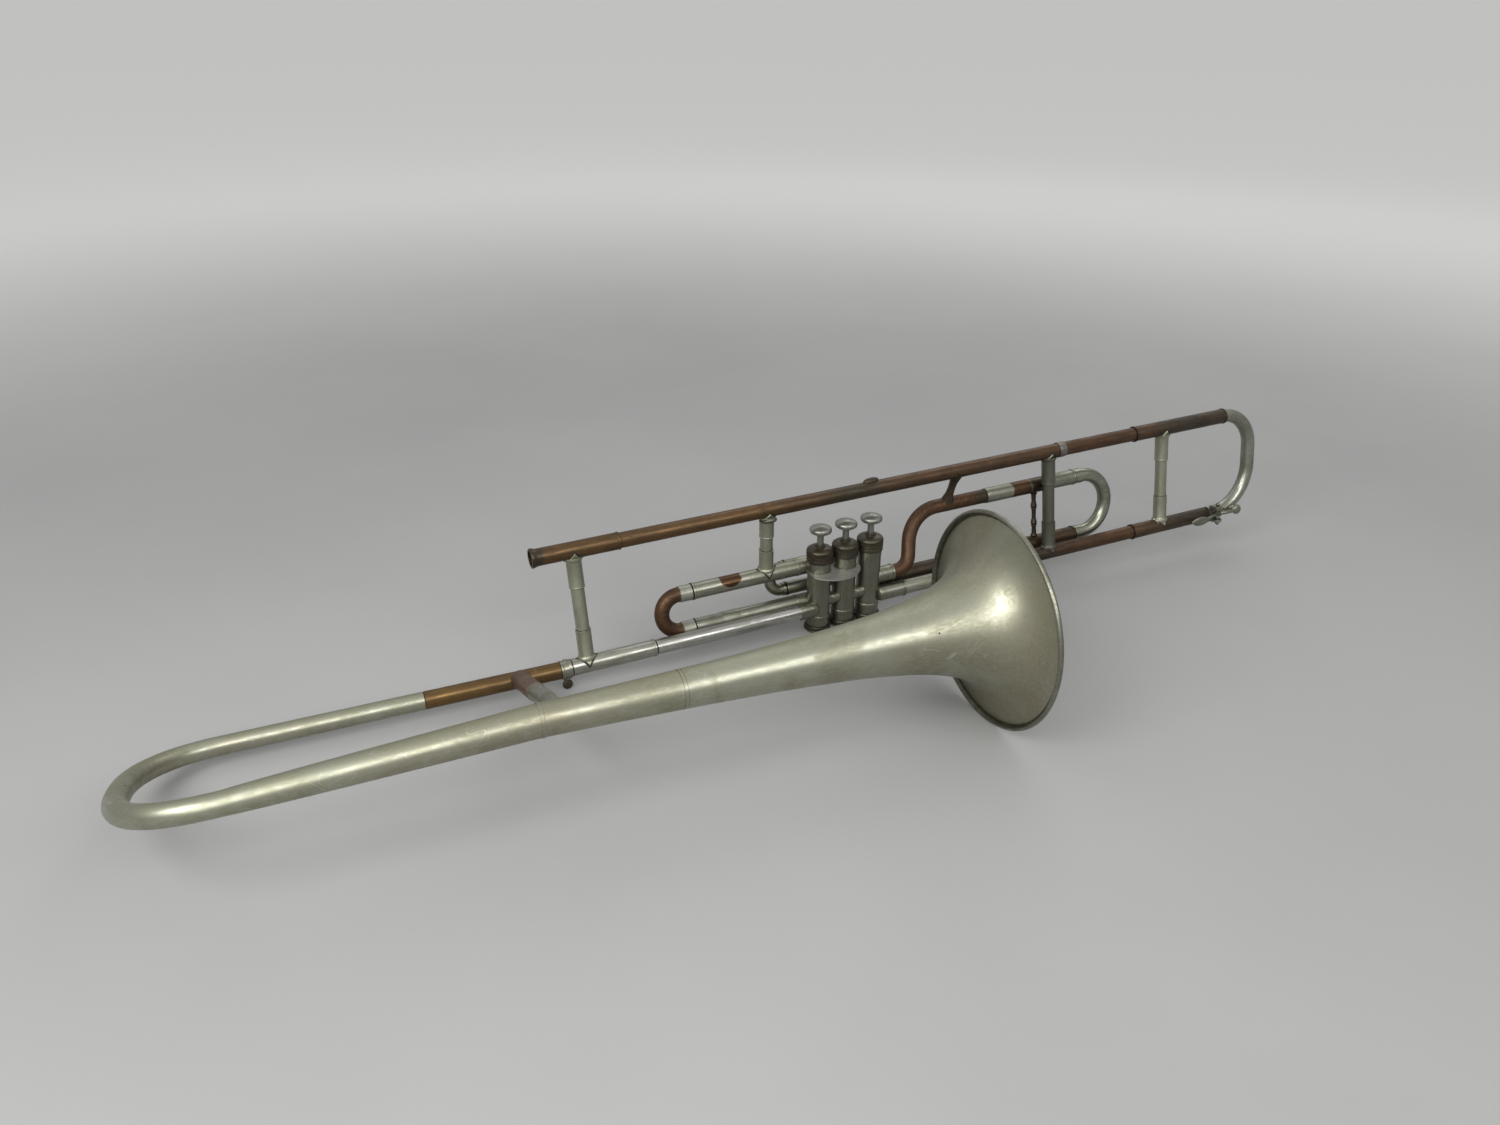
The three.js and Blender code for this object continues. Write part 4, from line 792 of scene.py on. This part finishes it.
bow_tones = ((0.27, 0.275, 0.220), (0.170, 0.173, 0.128), (0.45, 0.45, 0.40), (0.04, 0.034, 0.024),
    (0.195, 0.188, 0.135))
# Each bow carries a painted shadow on its inner leg, in the gap at the ring.
first_bow_metal = metal("first_bow_copper", nickel_tones, 0.46, 0.8,
    patches=[(red_tones, -0.20, -0.1180, 0.0006, 0.003), painted_gap_shadow(first_ring, -1)])
build("first_bow", "first_slide_bow",
    [slide_bow(first_ring, -1, 0.0107, 0.040, first_back, first_high, first_low)], first_bow_metal,
    body="first_slide")
build("second_bow", "second_slide_bow",
    [slide_bow(second_ring, -1, 0.0032, 0.018, second_back, second_high, second_low, small_radius,
    small_sleeve)], metal("second_bow_nickel", bow_tones, patches=[painted_gap_shadow(second_ring, -1)]),
    body="second_slide")
build("third_bow", "third_slide_bow",
    [slide_bow(third_ring, 1, 0.0083, 0.055, third_back, third_high, third_low)],
    metal("third_bow_nickel", bow_tones, 0.32, patches=[painted_gap_shadow(third_ring, 1)]), body="third_slide")


# Front tuning slide
# Two dark brass sleeves run on the long tubes and carry the front bow, a nickel bend that opens
# from the tighter upper turn to a wider lower one. A nipple at the low point lets the water out.

bow_reach, bow_upper, bow_lower = 0.4556, 0.033, 0.042
upper_ring, lower_ring = 0.3191, 0.3187
for side, ring, turn, z in (("upper", upper_ring, bow_upper, span), ("lower", lower_ring, bow_lower, 0)):
    sleeve_metal = metal(f"{side}_sleeve_brass", brown_tones, 0.44, 0.7,
        patches=[(copper_tones, 0.31, 0.350, 0.008, 0.02)])
    build(f"front_sleeve_{side}", f"front_slide_{side}_sleeve",
        [ringed_sleeve(ring, bow_reach - turn, 0, z, "start end")], sleeve_metal, body="tuning_slide")
front_line = route([(bow_reach - bow_upper + seam, 0, span), (bow_reach, 0, span), (bow_reach, 0, 0),
    (bow_reach - bow_lower + seam, 0, 0)], [bow_upper - 2 * seam, bow_lower - 2 * seam], 4.0)
nipple_at, nipple_up = 0.4346, 0.0018
nipple = turned(hollow(0.0022, (0.0056, 0.0040), (0.0062, 0.0036), (0.0074, 0.0032), (0.0086, 0.0032)),
    32, 0.0002)
to_nipple = Matrix.Translation((nipple_at, 0, nipple_up)) @ Matrix.Rotation(math.pi / 2, 4, "X")
front_metal = metal("front_bow_nickel", nickel_tones, 0.31, way=(1, 1, 1), wipe=0.12)
build("front_bow_bend", "front_bow", [laid(swept(front_line, tube_radius, 48, tube_wall)),
    laid(placed(nipple, to_nipple))], front_metal, body="tuning_slide")


# Stays
# Nickel tubes that brace the long tubes. Each end sits in a socket whose foot spreads into a pointed saddle
# on the tube. A thin dark rim round the saddle and a dark ring inside the socket's lip are painted shade.

stay_radius, socket_radius, socket_long = 0.0052, 0.0059, 0.022
solder_tones = ((0.15, 0.145, 0.125), (0.06, 0.050, 0.038), (0.30, 0.285, 0.25), (0.02, 0.015, 0.01),
    (0.11, 0.10, 0.08))
solder = metal("old_solder", solder_tones, 0.48, 0.8)
# Very dark: painted shade for the gap round each saddle's edge and inside each socket's lip.
painted_shade_seam = metal("painted_shade_rim", [(0.4 * r, 0.4 * g, 0.4 * b) for r, g, b in brown_tones], 0.6,
    0.4, way=(1, 1, 1))


def saddle(foot, head, braced, half_long=0.0078, half_round=1.5, thick=0.0009):
    """A pointed plate wrapped on a tube along x, that faces along head."""
    foot, head = Vector(foot), Vector(head).normalized()
    side = Vector((1, 0, 0)).cross(head)
    n = 24
    m = n + 1
    points, faces = [], []
    for skin in (0, 1):
        for i in range(m):
            for j in range(m):
                s, t = 2 * i / n - 1, 2 * j / n - 1
                u, w = (s + t) / 2, (s - t) / 2
                rim = min(1.0, (1 - max(abs(s), abs(t))) * n / 2)
                r = braced + (thick * math.sqrt(max(0.0, rim * (2 - rim))) + 0.00012 if skin else -0.0001)
                round_tube = head * (r * math.cos(half_round * w)) + side * (r * math.sin(half_round * w))
                points.append(tuple(foot + Vector((half_long * u, 0, 0)) + round_tube))
                if i < n and j < n:
                    at = skin * m * m + i * m + j
                    faces.append([at, at + m, at + m + 1, at + 1])
    edge = [i * m for i in range(m)] + [n * m + j for j in range(1, m)]
    edge += [i * m + n for i in range(n - 1, -1, -1)] + list(range(n - 1, 0, -1))
    faces += [[a, b, m * m + b, m * m + a] for a, b in zip(edge, edge[1:] + edge[:1])]
    return points, faces


def frame_along(foot, head):
    """Turns a shape along z so that it stands at foot and points to head."""
    return Matrix.Translation(foot) @ Vector(head).to_track_quat("Z", "X").to_matrix().to_4x4()


def socket(skin, lip):
    """A socket from the skin of a tube out to its lip, with a fillet at its foot."""
    return turned([(skin - 0.0016, 0), (skin - 0.0016, socket_radius + 0.0013),
        (skin + 0.0002, socket_radius + 0.0011), (skin + 0.0010, socket_radius + 0.0004),
        (skin + 0.0022, socket_radius), (lip - 0.0008, socket_radius),
        (lip - 0.0006, socket_radius + 0.00022), (lip, socket_radius + 0.00022),
        (lip, stay_radius - 0.0003), (lip, 0)], 48, 0.00015)


def dyed(part, material):
    """A shell with a material of its own."""
    return *part, material


def stay(name, solid, a, b, skins, material, length=socket_long, body="slide_frame", extra=()):
    """A stay between points on the axes of two tubes, whose radii are the skins."""
    a, b = Vector(a), Vector(b)
    head = (b - a).normalized()
    shells = [swept([a + head * (skins[0] + 0.001), b - head * (skins[1] + 0.001)], stay_radius, 48,
        hint=(1, 0, 0))]
    for foot, way, skin in ((a, head, skins[0]), (b, -head, skins[1])):
        lip, stand = skin + seam + length, frame_along(foot, way)
        # The ring inside the lip and the thin, wider saddle under the saddle carry painted shade, the dark of
        # the gaps there.
        ring = turned(hollow(0.004, (lip - 0.001, 0.0054), (lip + 0.0004, 0.0054)), 32, 0)
        shells += [on_tube(placed(socket(skin, lip), stand), foot, skin + 0.00008),
            saddle(foot, way, skin), dyed(placed(ring, stand), painted_shade_seam),
            dyed(saddle(foot, way, skin, 0.0091, 1.72, 0.0001), painted_shade_seam)]
    shells = [(*laid(shell[:2]), *shell[2:]) for shell in shells + list(extra)]
    build(name, solid, shells, material, body=body)


left_at, second_at, middle_at, front_at = -0.2008, -0.0419, 0.2269, 0.3519
stay_tones = ((0.36, 0.368, 0.290), (0.23, 0.236, 0.172), (0.52, 0.525, 0.455), (0.05, 0.04, 0.028),
    (0.27, 0.265, 0.195))
stay_nickel = metal("stay_nickel", stay_tones, 0.42, 0.85, way=upright, wipe=0.12)
dull_tones = ((0.135, 0.139, 0.108), (0.088, 0.088, 0.066), (0.25, 0.25, 0.21), (0.05, 0.04, 0.028),
    (0.105, 0.096, 0.070))
stay_dull = metal("stay_dull_nickel", dull_tones, 0.42, 0.85, way=upright, wipe=0.12)
burr = lump((second_at, -0.001, span - 0.0078), (0.0074, 0.0068, 0.0030), 9)
burr = dyed(on_tube(burr, (0, 0, span), tube_radius + 0.0002), solder)
drops = [dyed(lump((front_at + x, y, z), (1.6 * size, size, 0.8 * size), seed), solder) for x, y, z,
    size, seed in ((-0.0052, -0.0050, span - 0.0052, 0.0013, 11),
    (0.0060, -0.0048, span - 0.0050, 0.0010, 12), (-0.0060, -0.0056, 0.0045, 0.0011, 13))]
stay("left_brace", "left_stay", (left_at, 0, span), (left_at, 0, 0), (sleeve_radius, sleeve_radius),
    stay_nickel)
stay("first_slide_brace", "first_slide_stay", (second_at, 0, span), (second_at, first_back, first_high),
    (tube_radius, sleeve_radius), stay_nickel, 0.017, extra=[burr])
stay("middle_brace", "middle_stay", (middle_at, 0, span), (middle_at, 0, 0), (tube_radius, tube_radius),
    stay_dull)
stay("front_brace", "front_stay", (front_at, 0, span), (front_at, 0, 0), (sleeve_radius, sleeve_radius),
    stay_nickel, body="tuning_slide", extra=drops)


# Turned brace and short strut
# A slim turned brace with two beads holds the legs of the third slide apart, and a flared strut
# ties the S-curve to the long tube. Both are dark brown.

baluster_at = 0.2216
low_skin, high_skin = third_low + sleeve_radius + seam, third_high - sleeve_radius - seam
foot = [(0, 0.0032), (0.0010, 0.0028), (0.0018, 0.0022)]
half_bead = [(0.0045, 0.0019), (0.0030, 0.0021), (0.0024, 0.0026), (0.0017, 0.0023), (0.0008, 0.0027)]
outline = [(low_skin, 0)] + [(low_skin + a, r) for a, r in foot]
for share in (0.3, 0.7):
    bead = low_skin + (high_skin - low_skin) * share
    outline += [(bead - a, r) for a, r in half_bead] + [(bead, 0.0029)]
    outline += [(bead + a, r) for a, r in reversed(half_bead)]
outline += [(high_skin - a, r) for a, r in reversed(foot)] + [(high_skin, 0)]
brown = metal("dark_brown_brass", brown_tones, rough=0.42, metallic=0.7, way=upright)
to_baluster = Matrix.Translation((baluster_at, third_back, 0))
build("turned_brace", "baluster_brace", [laid(placed(turned(outline, 32, 0.0003), to_baluster))], brown)
strut_top, strut_foot = Vector((0.1344, 0, span)), Vector((0.1306, third_back, third_high))
shares = [0.0, 0.1, 0.2, 0.27, 0.34, 0.5, 0.66, 0.73, 0.8, 0.9, 1.0]
flared = [0.0047, 0.0047, 0.0046, 0.0040, 0.0034]
strut = swept([strut_top.lerp(strut_foot, s) for s in shares], flared + [0.0031] + flared[::-1], 32,
    hint=(1, 0, 0))
for end in (strut_top, strut_foot):
    strut = on_tube(strut, end, tube_radius + 0.0002)
build("flared_strut", "short_strut", [laid(strut)], brown)


# Water key
# A nickel key on the lower front sleeve: a saddle with two ears, a steel pin with ball ends, a
# lever with a rounded touch and a cup, a wire spring round the pin, and a cork pad on the nipple.

key_at, pin_out, pin_up = 0.4114, 0.0109, 0.002
ear_half, ear_thick, ear_round = 0.0064, 0.0012, 0.0038
key_frame = Matrix.Translation((key_at, -pin_out, pin_up))
dull_nickel = metal("dull_nickel_silver", ((0.24, 0.243, 0.195), (0.14, 0.14, 0.105),
    (0.42, 0.42, 0.37), (0.035, 0.03, 0.02), (0.17, 0.16, 0.115)), rough=0.38)


def key_plate(half_long, radius, thick, half_turn, steps=24):
    """A bent plate on the sleeve, round the front of it."""
    points = []
    for i in range(steps + 1):
        turn = half_turn * (2 * i / steps - 1)
        points += [(x, -r * math.cos(turn), r * math.sin(turn)) for r in (radius, radius + thick)
            for x in (key_at - half_long, key_at + half_long)]
    last, faces = 4 * steps, []
    for a in range(0, last, 4):
        faces += [[a, a + 1, a + 5, a + 4], [a + 2, a + 6, a + 7, a + 3], [a, a + 4, a + 6, a + 2],
            [a + 1, a + 3, a + 7, a + 5]]
    return points, faces + [[0, 2, 3, 1], [last, last + 1, last + 3, last + 2]]


def ear(up):
    """An ear that stands off the saddle, round at the pin."""
    turns = [math.pi / 2 + math.pi * i / 16 for i in range(17)]
    outline = [(ear_round * math.sin(turn), -pin_out + ear_round * math.cos(turn)) for turn in turns]
    outline += [(-0.0046, -0.0070), (-0.0046, -0.0050), (0.0046, -0.0050), (0.0046, -0.0070)]
    n = len(outline)
    points = [(key_at + x, y, up + h) for h in (-ear_thick, ear_thick) for x, y in outline]
    faces = [list(range(n - 1, -1, -1)), list(range(n, 2 * n))]
    faces += [[i, (i + 1) % n, n + (i + 1) % n, n + i] for i in range(n)]
    return points, faces


mount = [key_plate(0.0055, sleeve_radius + 0.0002, 0.0011, 1.45)]
mount += [on_tube(ear(pin_up + h), (0, 0, 0), sleeve_radius + 0.0002) for h in (-ear_half, ear_half)]
build("water_key_mount", "water_key_saddle", [laid(shell) for shell in mount], nickel,
    body="tuning_slide")
half_pin = [(-0.0108, 0), (-0.0107, 0.0007), (-0.0102, 0.0014), (-0.0094, 0.0018), (-0.0086, 0.0018),
    (-0.0078, 0.0014), (-0.0074, 0.0011)]
pin = turned(half_pin + [(-z, r) for z, r in reversed(half_pin)], 32, 0.0001)
build("water_key_hinge_pin", "water_key_pin", [laid(placed(pin, key_frame))], steel,
    body="tuning_slide")
cup_face, cup_back = 0.0098, 0.0130
spoon_at, spoon_out = 0.3894, 0.0142
barrel = turned(hollow(0.0013, (-0.0042, 0.0023), (-0.0030, 0.0023), (-0.0028, 0.0020),
    (0.0028, 0.0020), (0.0030, 0.0023), (0.0042, 0.0023)), 32, 0.0002)
arm_line = route([(key_at + 0.0012, -pin_out, pin_up), (key_at + 0.0085, -cup_back - 0.0002, pin_up),
    (nipple_at, -cup_back + 0.0006, nipple_up)], [0.008], 6.0)
touch_line = [(key_at - 0.0012, -pin_out, pin_up), (key_at - 0.006, -pin_out - 0.0012, 0.0014),
    (key_at - 0.012, -pin_out - 0.0026, 0.0006), (spoon_at + 0.003, -spoon_out + 0.0002, 0.0)]
ball_points, ball_faces = lump((0, 0, 0), (1, 1, 1), 1, 36, 0.0)
spoon = [(spoon_at + 0.011 * x, -spoon_out - 0.0004 + 0.0011 * y + 0.0009 * x * x,
    0.0042 * z * (0.66 + 0.34 * math.cos(1.35 * (x + 0.35)))) for x, y, z in ball_points]
cup = turned([(cup_face + 0.0006, 0.0040), (cup_face + 0.0006, 0.0046), (cup_face + 0.0014, 0.0047),
    (cup_face + 0.0024, 0.0042), (cup_back, 0.0028), (cup_back + 0.0002, 0), (cup_back - 0.0010, 0),
    (cup_face + 0.0016, 0.0036), (cup_face + 0.0006, 0.0040)], 40, 0.0002)
lever = [placed(barrel, key_frame), swept(arm_line, 0.0016, 20, hint=(0, 0, 1)),
    swept(touch_line, [0.0018, 0.0017, 0.0016, 0.0014], 20, hint=(0, 0, 1)), (spoon, ball_faces),
    placed(cup, to_nipple)]
build("water_key_arm", "water_key_lever", [laid(shell) for shell in lever], dull_nickel,
    body="water_key")
cork = cloth("key_cork", ((0.34, 0.20, 0.10), (0.46, 0.30, 0.16), (0.16, 0.09, 0.05)), 1300.0, 0.85)
pad = turned([(0.0089, 0), (0.0089, 0.0036), (0.0105, 0.0037), (0.0107, 0)], 32, 0.0003)
build("water_key_cork", "water_key_pad", [laid(placed(pad, to_nipple))], cork, body="water_key")
coil, coil_half, coils, coil_steps = 0.0030, 0.0024, 4, 96
wire_line = []
for i in range(coil_steps + 1):
    turn = 2 * math.pi * coils * i / coil_steps
    wire_line.append((key_at + coil * math.cos(turn), -pin_out + coil * math.sin(turn),
        pin_up - coil_half + 2 * coil_half * i / coil_steps))
tails = [(key_at + 0.0095, -0.0079, pin_up + h) for h in (-0.0030, 0.0030)]
wire_line = [tails[0], *wire_line, tails[1]]
build("water_key_wire_spring", None, [laid(swept(wire_line, 0.0004, 8, hint=(0, 0, 1)))], steel,
    body="tuning_slide")


# Bell joint
# A split nickel collar with a boss clamps the neck of the bell section. The thumb screw under it
# has a flat dark wing that touches the floor.

collar_start, collar_end = -0.2224, -0.2140
screw_at = (collar_start + collar_end) / 2
flange = [(0, 0.0073), (0.0014, 0.0073), (0.0018, 0.0069)]
collar = hollow(sleeve_bore, *mirrored(collar_start, collar_end, 0, flange))
boss = turned(hollow(0.00165, (0.0064, 0.0035), (0.0068, 0.0032), (0.0080, 0.0030)), 32, 0.0002)
nub = turned([(0.0064, 0), (0.0064, 0.0024), (0.0068, 0.0016), (0.0078, 0.0015), (0.0080, 0)], 24, 0.0002)
to_screw = Matrix.Translation((screw_at, 0, 0))
under = to_screw @ Matrix.Rotation(math.pi, 4, "X")
clamp = [along_x_at(turned(collar, 64, 0.0002)), placed(boss, under), placed(nub, to_screw)]
build("clamp_collar", "bell_clamp_collar", [laid(shell) for shell in clamp], nickel)
knob_radius = 0.0040
knob_centre = (knob_radius - (slide_rest @ Vector((screw_at, 0, 0))).z) / (math.cos(rest_pitch)
    * math.cos(rest_roll))
shank = turned([(knob_centre + 0.003, 0), (knob_centre + 0.003, 0.0022), (-0.0086, 0.0022),
    (-0.0083, 0.0018), (-0.0083, 0.0015), (-0.0063, 0.0015), (-0.0063, 0)], 24, 0.0002)
wing = [(screw_at + knob_radius * x, 0.0019 * y * (1 - 0.35 * math.exp(-6 * (x * x + z * z))),
    knob_centre + knob_radius * z) for x, y, z in ball_points]
build("clamp_thumb_screw", "thumb_screw", [laid(placed(shank, to_screw)), laid((wing, ball_faces))],
    cap_metal, body="clamp_screw")


# Bell section: neck, bow and stay
# A brown neck, a wide nickel bow round the back and a tail that opens towards the bell. A ring hides
# the seam to the bell, and a stay between neck and bell has lost the plate on its upper part.

bell_offset, bow_start, bow_depth, bow_square = 0.1684, 0.234, 0.061, 2.5
neck_end, tail_end, tail_lift, sheet = 0.1015, 0.052, 0.0046, 0.0006
neck_radius, bow_radius = 0.0067, 0.0074
rim_radius, flare_long, flare_throat, flare_power = 0.0799, 0.330, 0.01207, 0.597
bell_rest = (slide_rest @ Matrix.Translation((collar_start, 0, 0))
    @ Matrix.Rotation(math.radians(1.16), 4, "Y") @ Matrix.Rotation(math.radians(-0.24), 4, "Z")
    @ Matrix.Rotation(math.radians(-12.367021631), 4, "X"))


def hung(part):
    return placed(part, bell_rest)


tenon = straight(collar_start, collar_start + 0.030, 0, tube_radius - 0.00015)
build("neck_tenon_tube", "neck_tenon", [laid(tenon)], nickel, body="bell_section")
neck_tones = ((0.150, 0.088, 0.031), (0.086, 0.052, 0.021), (0.29, 0.180, 0.075), (0.03, 0.018, 0.012),
    (0.112, 0.070, 0.029))
neck_metal = metal("neck_brass", neck_tones, 0.34, 0.8, way=(0.05, 1, 1))
build("bell_neck", "neck_tube", [hung(straight(-seam, -neck_end, 0, neck_radius, sheet))], neck_metal,
    body="bell_section")


def flare_radius(along):
    return rim_radius * (1 + (flare_long - along) / flare_throat) ** -flare_power


start, bends, tails = neck_end + seam, 72, 24
line = [(-start, 0, 0), (-start - 0.0002, 0, 0)]
line += [(-start - (bow_start - start) * i / 8, 0, 0) for i in range(1, 9)]
radii = [neck_radius - 0.0002] + [neck_radius] * 9
for i in range(1, bends + 1):
    turn = math.pi * i / bends
    over, down = (math.copysign(abs(v) ** (2 / bow_square), v) for v in (math.sin(turn), math.cos(turn)))
    line.append((-bow_start - bow_depth * over, -bell_offset / 2 * (1 - down),
        -0.001 * math.sin(turn) ** 2))
    radii.append(neck_radius + (bow_radius - neck_radius) * min(1.0, i / (bends / 2)))
for i in range(1, tails + 1):
    share = i / tails
    line.append((-bow_start + (bow_start - tail_end - 2 * seam) * share, -bell_offset, tail_lift * share))
    radii.append(bow_radius + (flare_radius(0) - bow_radius) * share**0.7)
bell_tones = ((0.345, 0.345, 0.268), (0.262, 0.260, 0.186), (0.62, 0.62, 0.56), (0.05, 0.04, 0.025),
    (0.272, 0.240, 0.162))
bell_nickel = metal("bell_nickel", bell_tones, 0.39, relief=0.06, way=(0.3, 1, 1), wipe=0.12, blotch=0.12)
tree = bell_nickel.node_tree
shader = tree.nodes["Principled BSDF"]
spot = node(tree, "TexCoord").outputs
facing = node(tree, "SeparateXYZ", {0: spot["Normal"]}).outputs["Z"]
ragged = calc(tree, "SUBTRACT", noise(tree, spot["Object"], 22.0, 5.0, 0.6, 0.4), 0.5)
dull_top = ramp(tree, calc(tree, "MULTIPLY_ADD", ragged, 0.7, facing), 0.78, 0.94, 0.0, 0.5)
coat, gloss = (shader.inputs[key].links[0].from_socket for key in ("Base Color", "Roughness"))
tree.links.new(mixed(tree, dull_top, coat, (0.255, 0.262, 0.190)), shader.inputs["Base Color"])
tree.links.new(calc(tree, "MULTIPLY_ADD", dull_top, 0.24, gloss, clamp=True), shader.inputs["Roughness"])
build("bell_back_bow", "bell_bow", [hung(swept(line, radii, 64, sheet, hint=(0, 0, 1)))], bell_nickel,
    body="bell_section")


# Bell
# The flare is spun from one sheet of nickel silver, and its rim is rolled over a wire. A pair of
# lines is turned round the tail, and the front of the flare is rubbed smooth.

flare_start = Vector((-tail_end, -bell_offset, tail_lift))
flare_end = Vector((flare_long - tail_end, -bell_offset, 0))
axis_way = (flare_end - flare_start).normalized()
flare_turn = Matrix.Translation(flare_start) @ (flare_end - flare_start).to_track_quat("X",
    "Z").to_matrix().to_4x4()
bead_radius = 0.0021
skin = []
steps = 90
for i in range(steps + 1):
    gap = flare_throat * ((1 + flare_long / flare_throat) ** (1 - i / steps) - 1)
    if flare_radius(flare_long - gap) < rim_radius - 1.6 * bead_radius:
        skin.append((flare_long - gap, flare_radius(flare_long - gap)))
line_at, line_end = 0.090, 0.0932
throat = flare_radius(0)
outer = [(-0.0012, throat + 0.0003), (0.0012, throat + 0.0003), (0.0014, flare_radius(0.0014))]
half_line = [(0, 0), (0.0001, -0.0003), (0.0006, -0.0003), (0.0007, 0.0001)]
marks = [(a, flare_radius(a) + up) for a, up in mirrored(line_at, line_end, 0, half_line)]
plain = [(a, r) for a, r in skin if a > 0.003 and not line_at - 0.001 < a < line_end + 0.001]
outer += sorted(plain + marks)
bead_at, bead_r = flare_long - bead_radius, rim_radius - bead_radius
for i in range(25):
    turn = math.pi - 1.5 * math.pi * i / 24
    outer.append((bead_at + bead_radius * math.cos(turn), bead_r + bead_radius * math.sin(turn)))
inner = [(a, r - sheet) for a, r in reversed(skin)]
shoulder = [(0, throat + 0.00005), (-0.0012, throat + 0.00005)]
flare = along_x_at(turned(outer + inner + shoulder + [outer[0]], 192, 0))
bell_made = build("bell_flare_spun", "bell_flare", [hung(placed(flare, flare_turn))], bell_nickel,
    body="bell_section", sharp=50.0)


def recoat(made, material, wanted):
    """Gives another material to the faces that are wanted."""
    made.data.materials.append(material)
    for face in made.data.polygons:
        if wanted(face):
            face.material_index = len(made.data.materials) - 1


def on_rim(face):
    """Whether a face of the flare is part of the rolled rim."""
    x, y, z = flare_turn.inverted() @ bell_rest.inverted() @ face.center
    return math.hypot(y, z) > rim_radius - 2.1 * bead_radius and x > flare_long - 4 * bead_radius


recoat(bell_made, dull_nickel, on_rim)


def off_flare(part):
    """A part in the bell's frame, pushed out of the flare."""
    points = []
    for p in part[0]:
        p = Vector(p)
        along = (p - flare_start).dot(axis_way)
        away = p - flare_start - axis_way * along
        grow = max(1.0, (flare_radius(max(0.0, along)) + 0.0002) / max(away.length, 1e-6))
        points.append(tuple(flare_start + axis_way * along + away * grow))
    return points, part[1]


stay_top, stay_foot = Vector((-0.031, 0, 0)), Vector((-0.036, -bell_offset, tail_lift))
bell_stay_radius, stay_hole, bare_share = 0.0069, 0.0040, 0.4
foot_reach = bell_offset - flare_radius(0.016) + 0.0002
step_at, slim = bell_offset * bare_share, bell_stay_radius - 0.00045
upper_part = hollow(stay_hole, (0.0040, bell_stay_radius + 0.0008), (0.0076, bell_stay_radius + 0.0004),
    (0.0090, bell_stay_radius), (step_at, bell_stay_radius))
lower_part = hollow(stay_hole, (step_at - 0.002, slim), (foot_reach - 0.0025, slim),
    (foot_reach - 0.0010, slim + 0.0003), (foot_reach + 0.0012, bell_stay_radius + 0.0008))
upper_part, lower_part = (placed(turned(part, 56, 0.0002), frame_along(stay_top, stay_foot - stay_top))
    for part in (upper_part, lower_part))
upper_part = on_tube(upper_part, (0, 0, 0), neck_radius + 0.0001)
bare_tones = ((0.165, 0.102, 0.066), (0.098, 0.064, 0.043), (0.28, 0.19, 0.13), (0.03, 0.02, 0.014),
    (0.125, 0.084, 0.056))
bare_brown = metal("bell_stay_bare_brown", bare_tones, 0.46, 0.8, way=(1, 0.12, 1))
plated = metal("bell_stay_plated", bow_tones, 0.40, way=(1, 0.12, 1))
build("bell_brace", "bell_stay", [dyed(hung(upper_part), bare_brown), hung(off_flare(lower_part))],
    plated, body="bell_section")


# The picture
# A pale floor in a pale room, under soft studio lamps, and a camera that looks at the instrument
# from the photograph's angle.

floor_mesh = bpy.data.meshes.new("floor")
reach = 30.0
floor_mesh.from_pydata([(-reach, -reach, 0), (reach, -reach, 0), (reach, reach, 0), (-reach, reach, 0)],
    [], [[0, 1, 2, 3]])
floor = linked("floor", floor_mesh)
floor_paint, tree, shader, here = blank("pale_floor")
shade = ramp(tree, noise(tree, here, 3.0, 4.0), 0.3, 0.7)
far = node(tree, "VectorMath", {0: here}, operation="LENGTH").outputs["Value"]
shade = mixed(tree, shade, (0.30, 0.30, 0.297), (0.32, 0.32, 0.316))
# Further off, the floor is painted paler, up to near white. This is painted light that makes up for the
# lamps' fall-off, so the far floor looks about as bright as the near floor.
shade = mixed(tree, ramp(tree, far, 0.75, 2.6), shade, (0.80, 0.80, 0.79))
tree.links.new(shade, shader.inputs["Base Color"])
shader.inputs["Roughness"].default_value = 0.85
floor_mesh.materials.append(floor_paint)

world = bpy.data.worlds.new("studio")
bpy.context.scene.world = world
world.use_nodes = True
tree = world.node_tree
background = tree.nodes["Background"]
path = node(tree, "LightPath").outputs
seen = calc(tree, "MAXIMUM", path["Is Camera Ray"], path["Is Transmission Ray"])
up = node(tree, "SeparateXYZ", {0: node(tree, "TexCoord").outputs["Generated"]}).outputs["Z"]
room = mixed(tree, ramp(tree, up, 0.05, 0.95), (0.34, 0.34, 0.34), (0.80, 0.80, 0.80))
tree.links.new(mixed(tree, seen, room, (0.92, 0.92, 0.92)), background.inputs["Color"])
background.inputs["Strength"].default_value = 1.0


def lamp(name, place, size, power):
    light = bpy.data.lights.new(name, "AREA")
    light.shape, light.size, light.size_y, light.energy = "RECTANGLE", size[0], size[1], power
    made = linked(name, light)
    made.location = place
    made.rotation_euler = (-Vector(place)).to_track_quat("-Z", "Y").to_euler()


lamp("long_soft_box", (-0.15, -1.25, 1.10), (2.2, 0.60), 16.0)
lamp("side_lamp", (-0.97, -0.44, 0.90), (0.60, 0.60), 8.5)
lamp("low_side_lamp", (-0.93, -1.22, 0.66), (0.25, 0.25), 2.0)
lamp("back_fill", (1.2, 1.2, 1.6), (1.2, 1.2), 6.0)

eye = bpy.data.cameras.new("photo_camera")
eye.sensor_fit, eye.sensor_width, eye.lens = "HORIZONTAL", 36.0, 36.0 * 1199.96 / 1500
eye.clip_start, eye.clip_end = 0.01, 100.0
camera = linked("photo_camera", eye)
right = Vector((0.9115037, -0.4112128, 0.0080693))
down = Vector((-0.1753600, -0.4063039, -0.8967530))
ahead = Vector((0.3720349, 0.8159786, -0.4424578))
camera.matrix_world = Matrix.Translation((-0.3822447, -0.6649437, 0.4923359)) @ Matrix((right, -down,
    -ahead)).transposed().to_4x4()
bpy.context.scene.camera = camera
bpy.context.scene.view_settings.view_transform = "Standard"
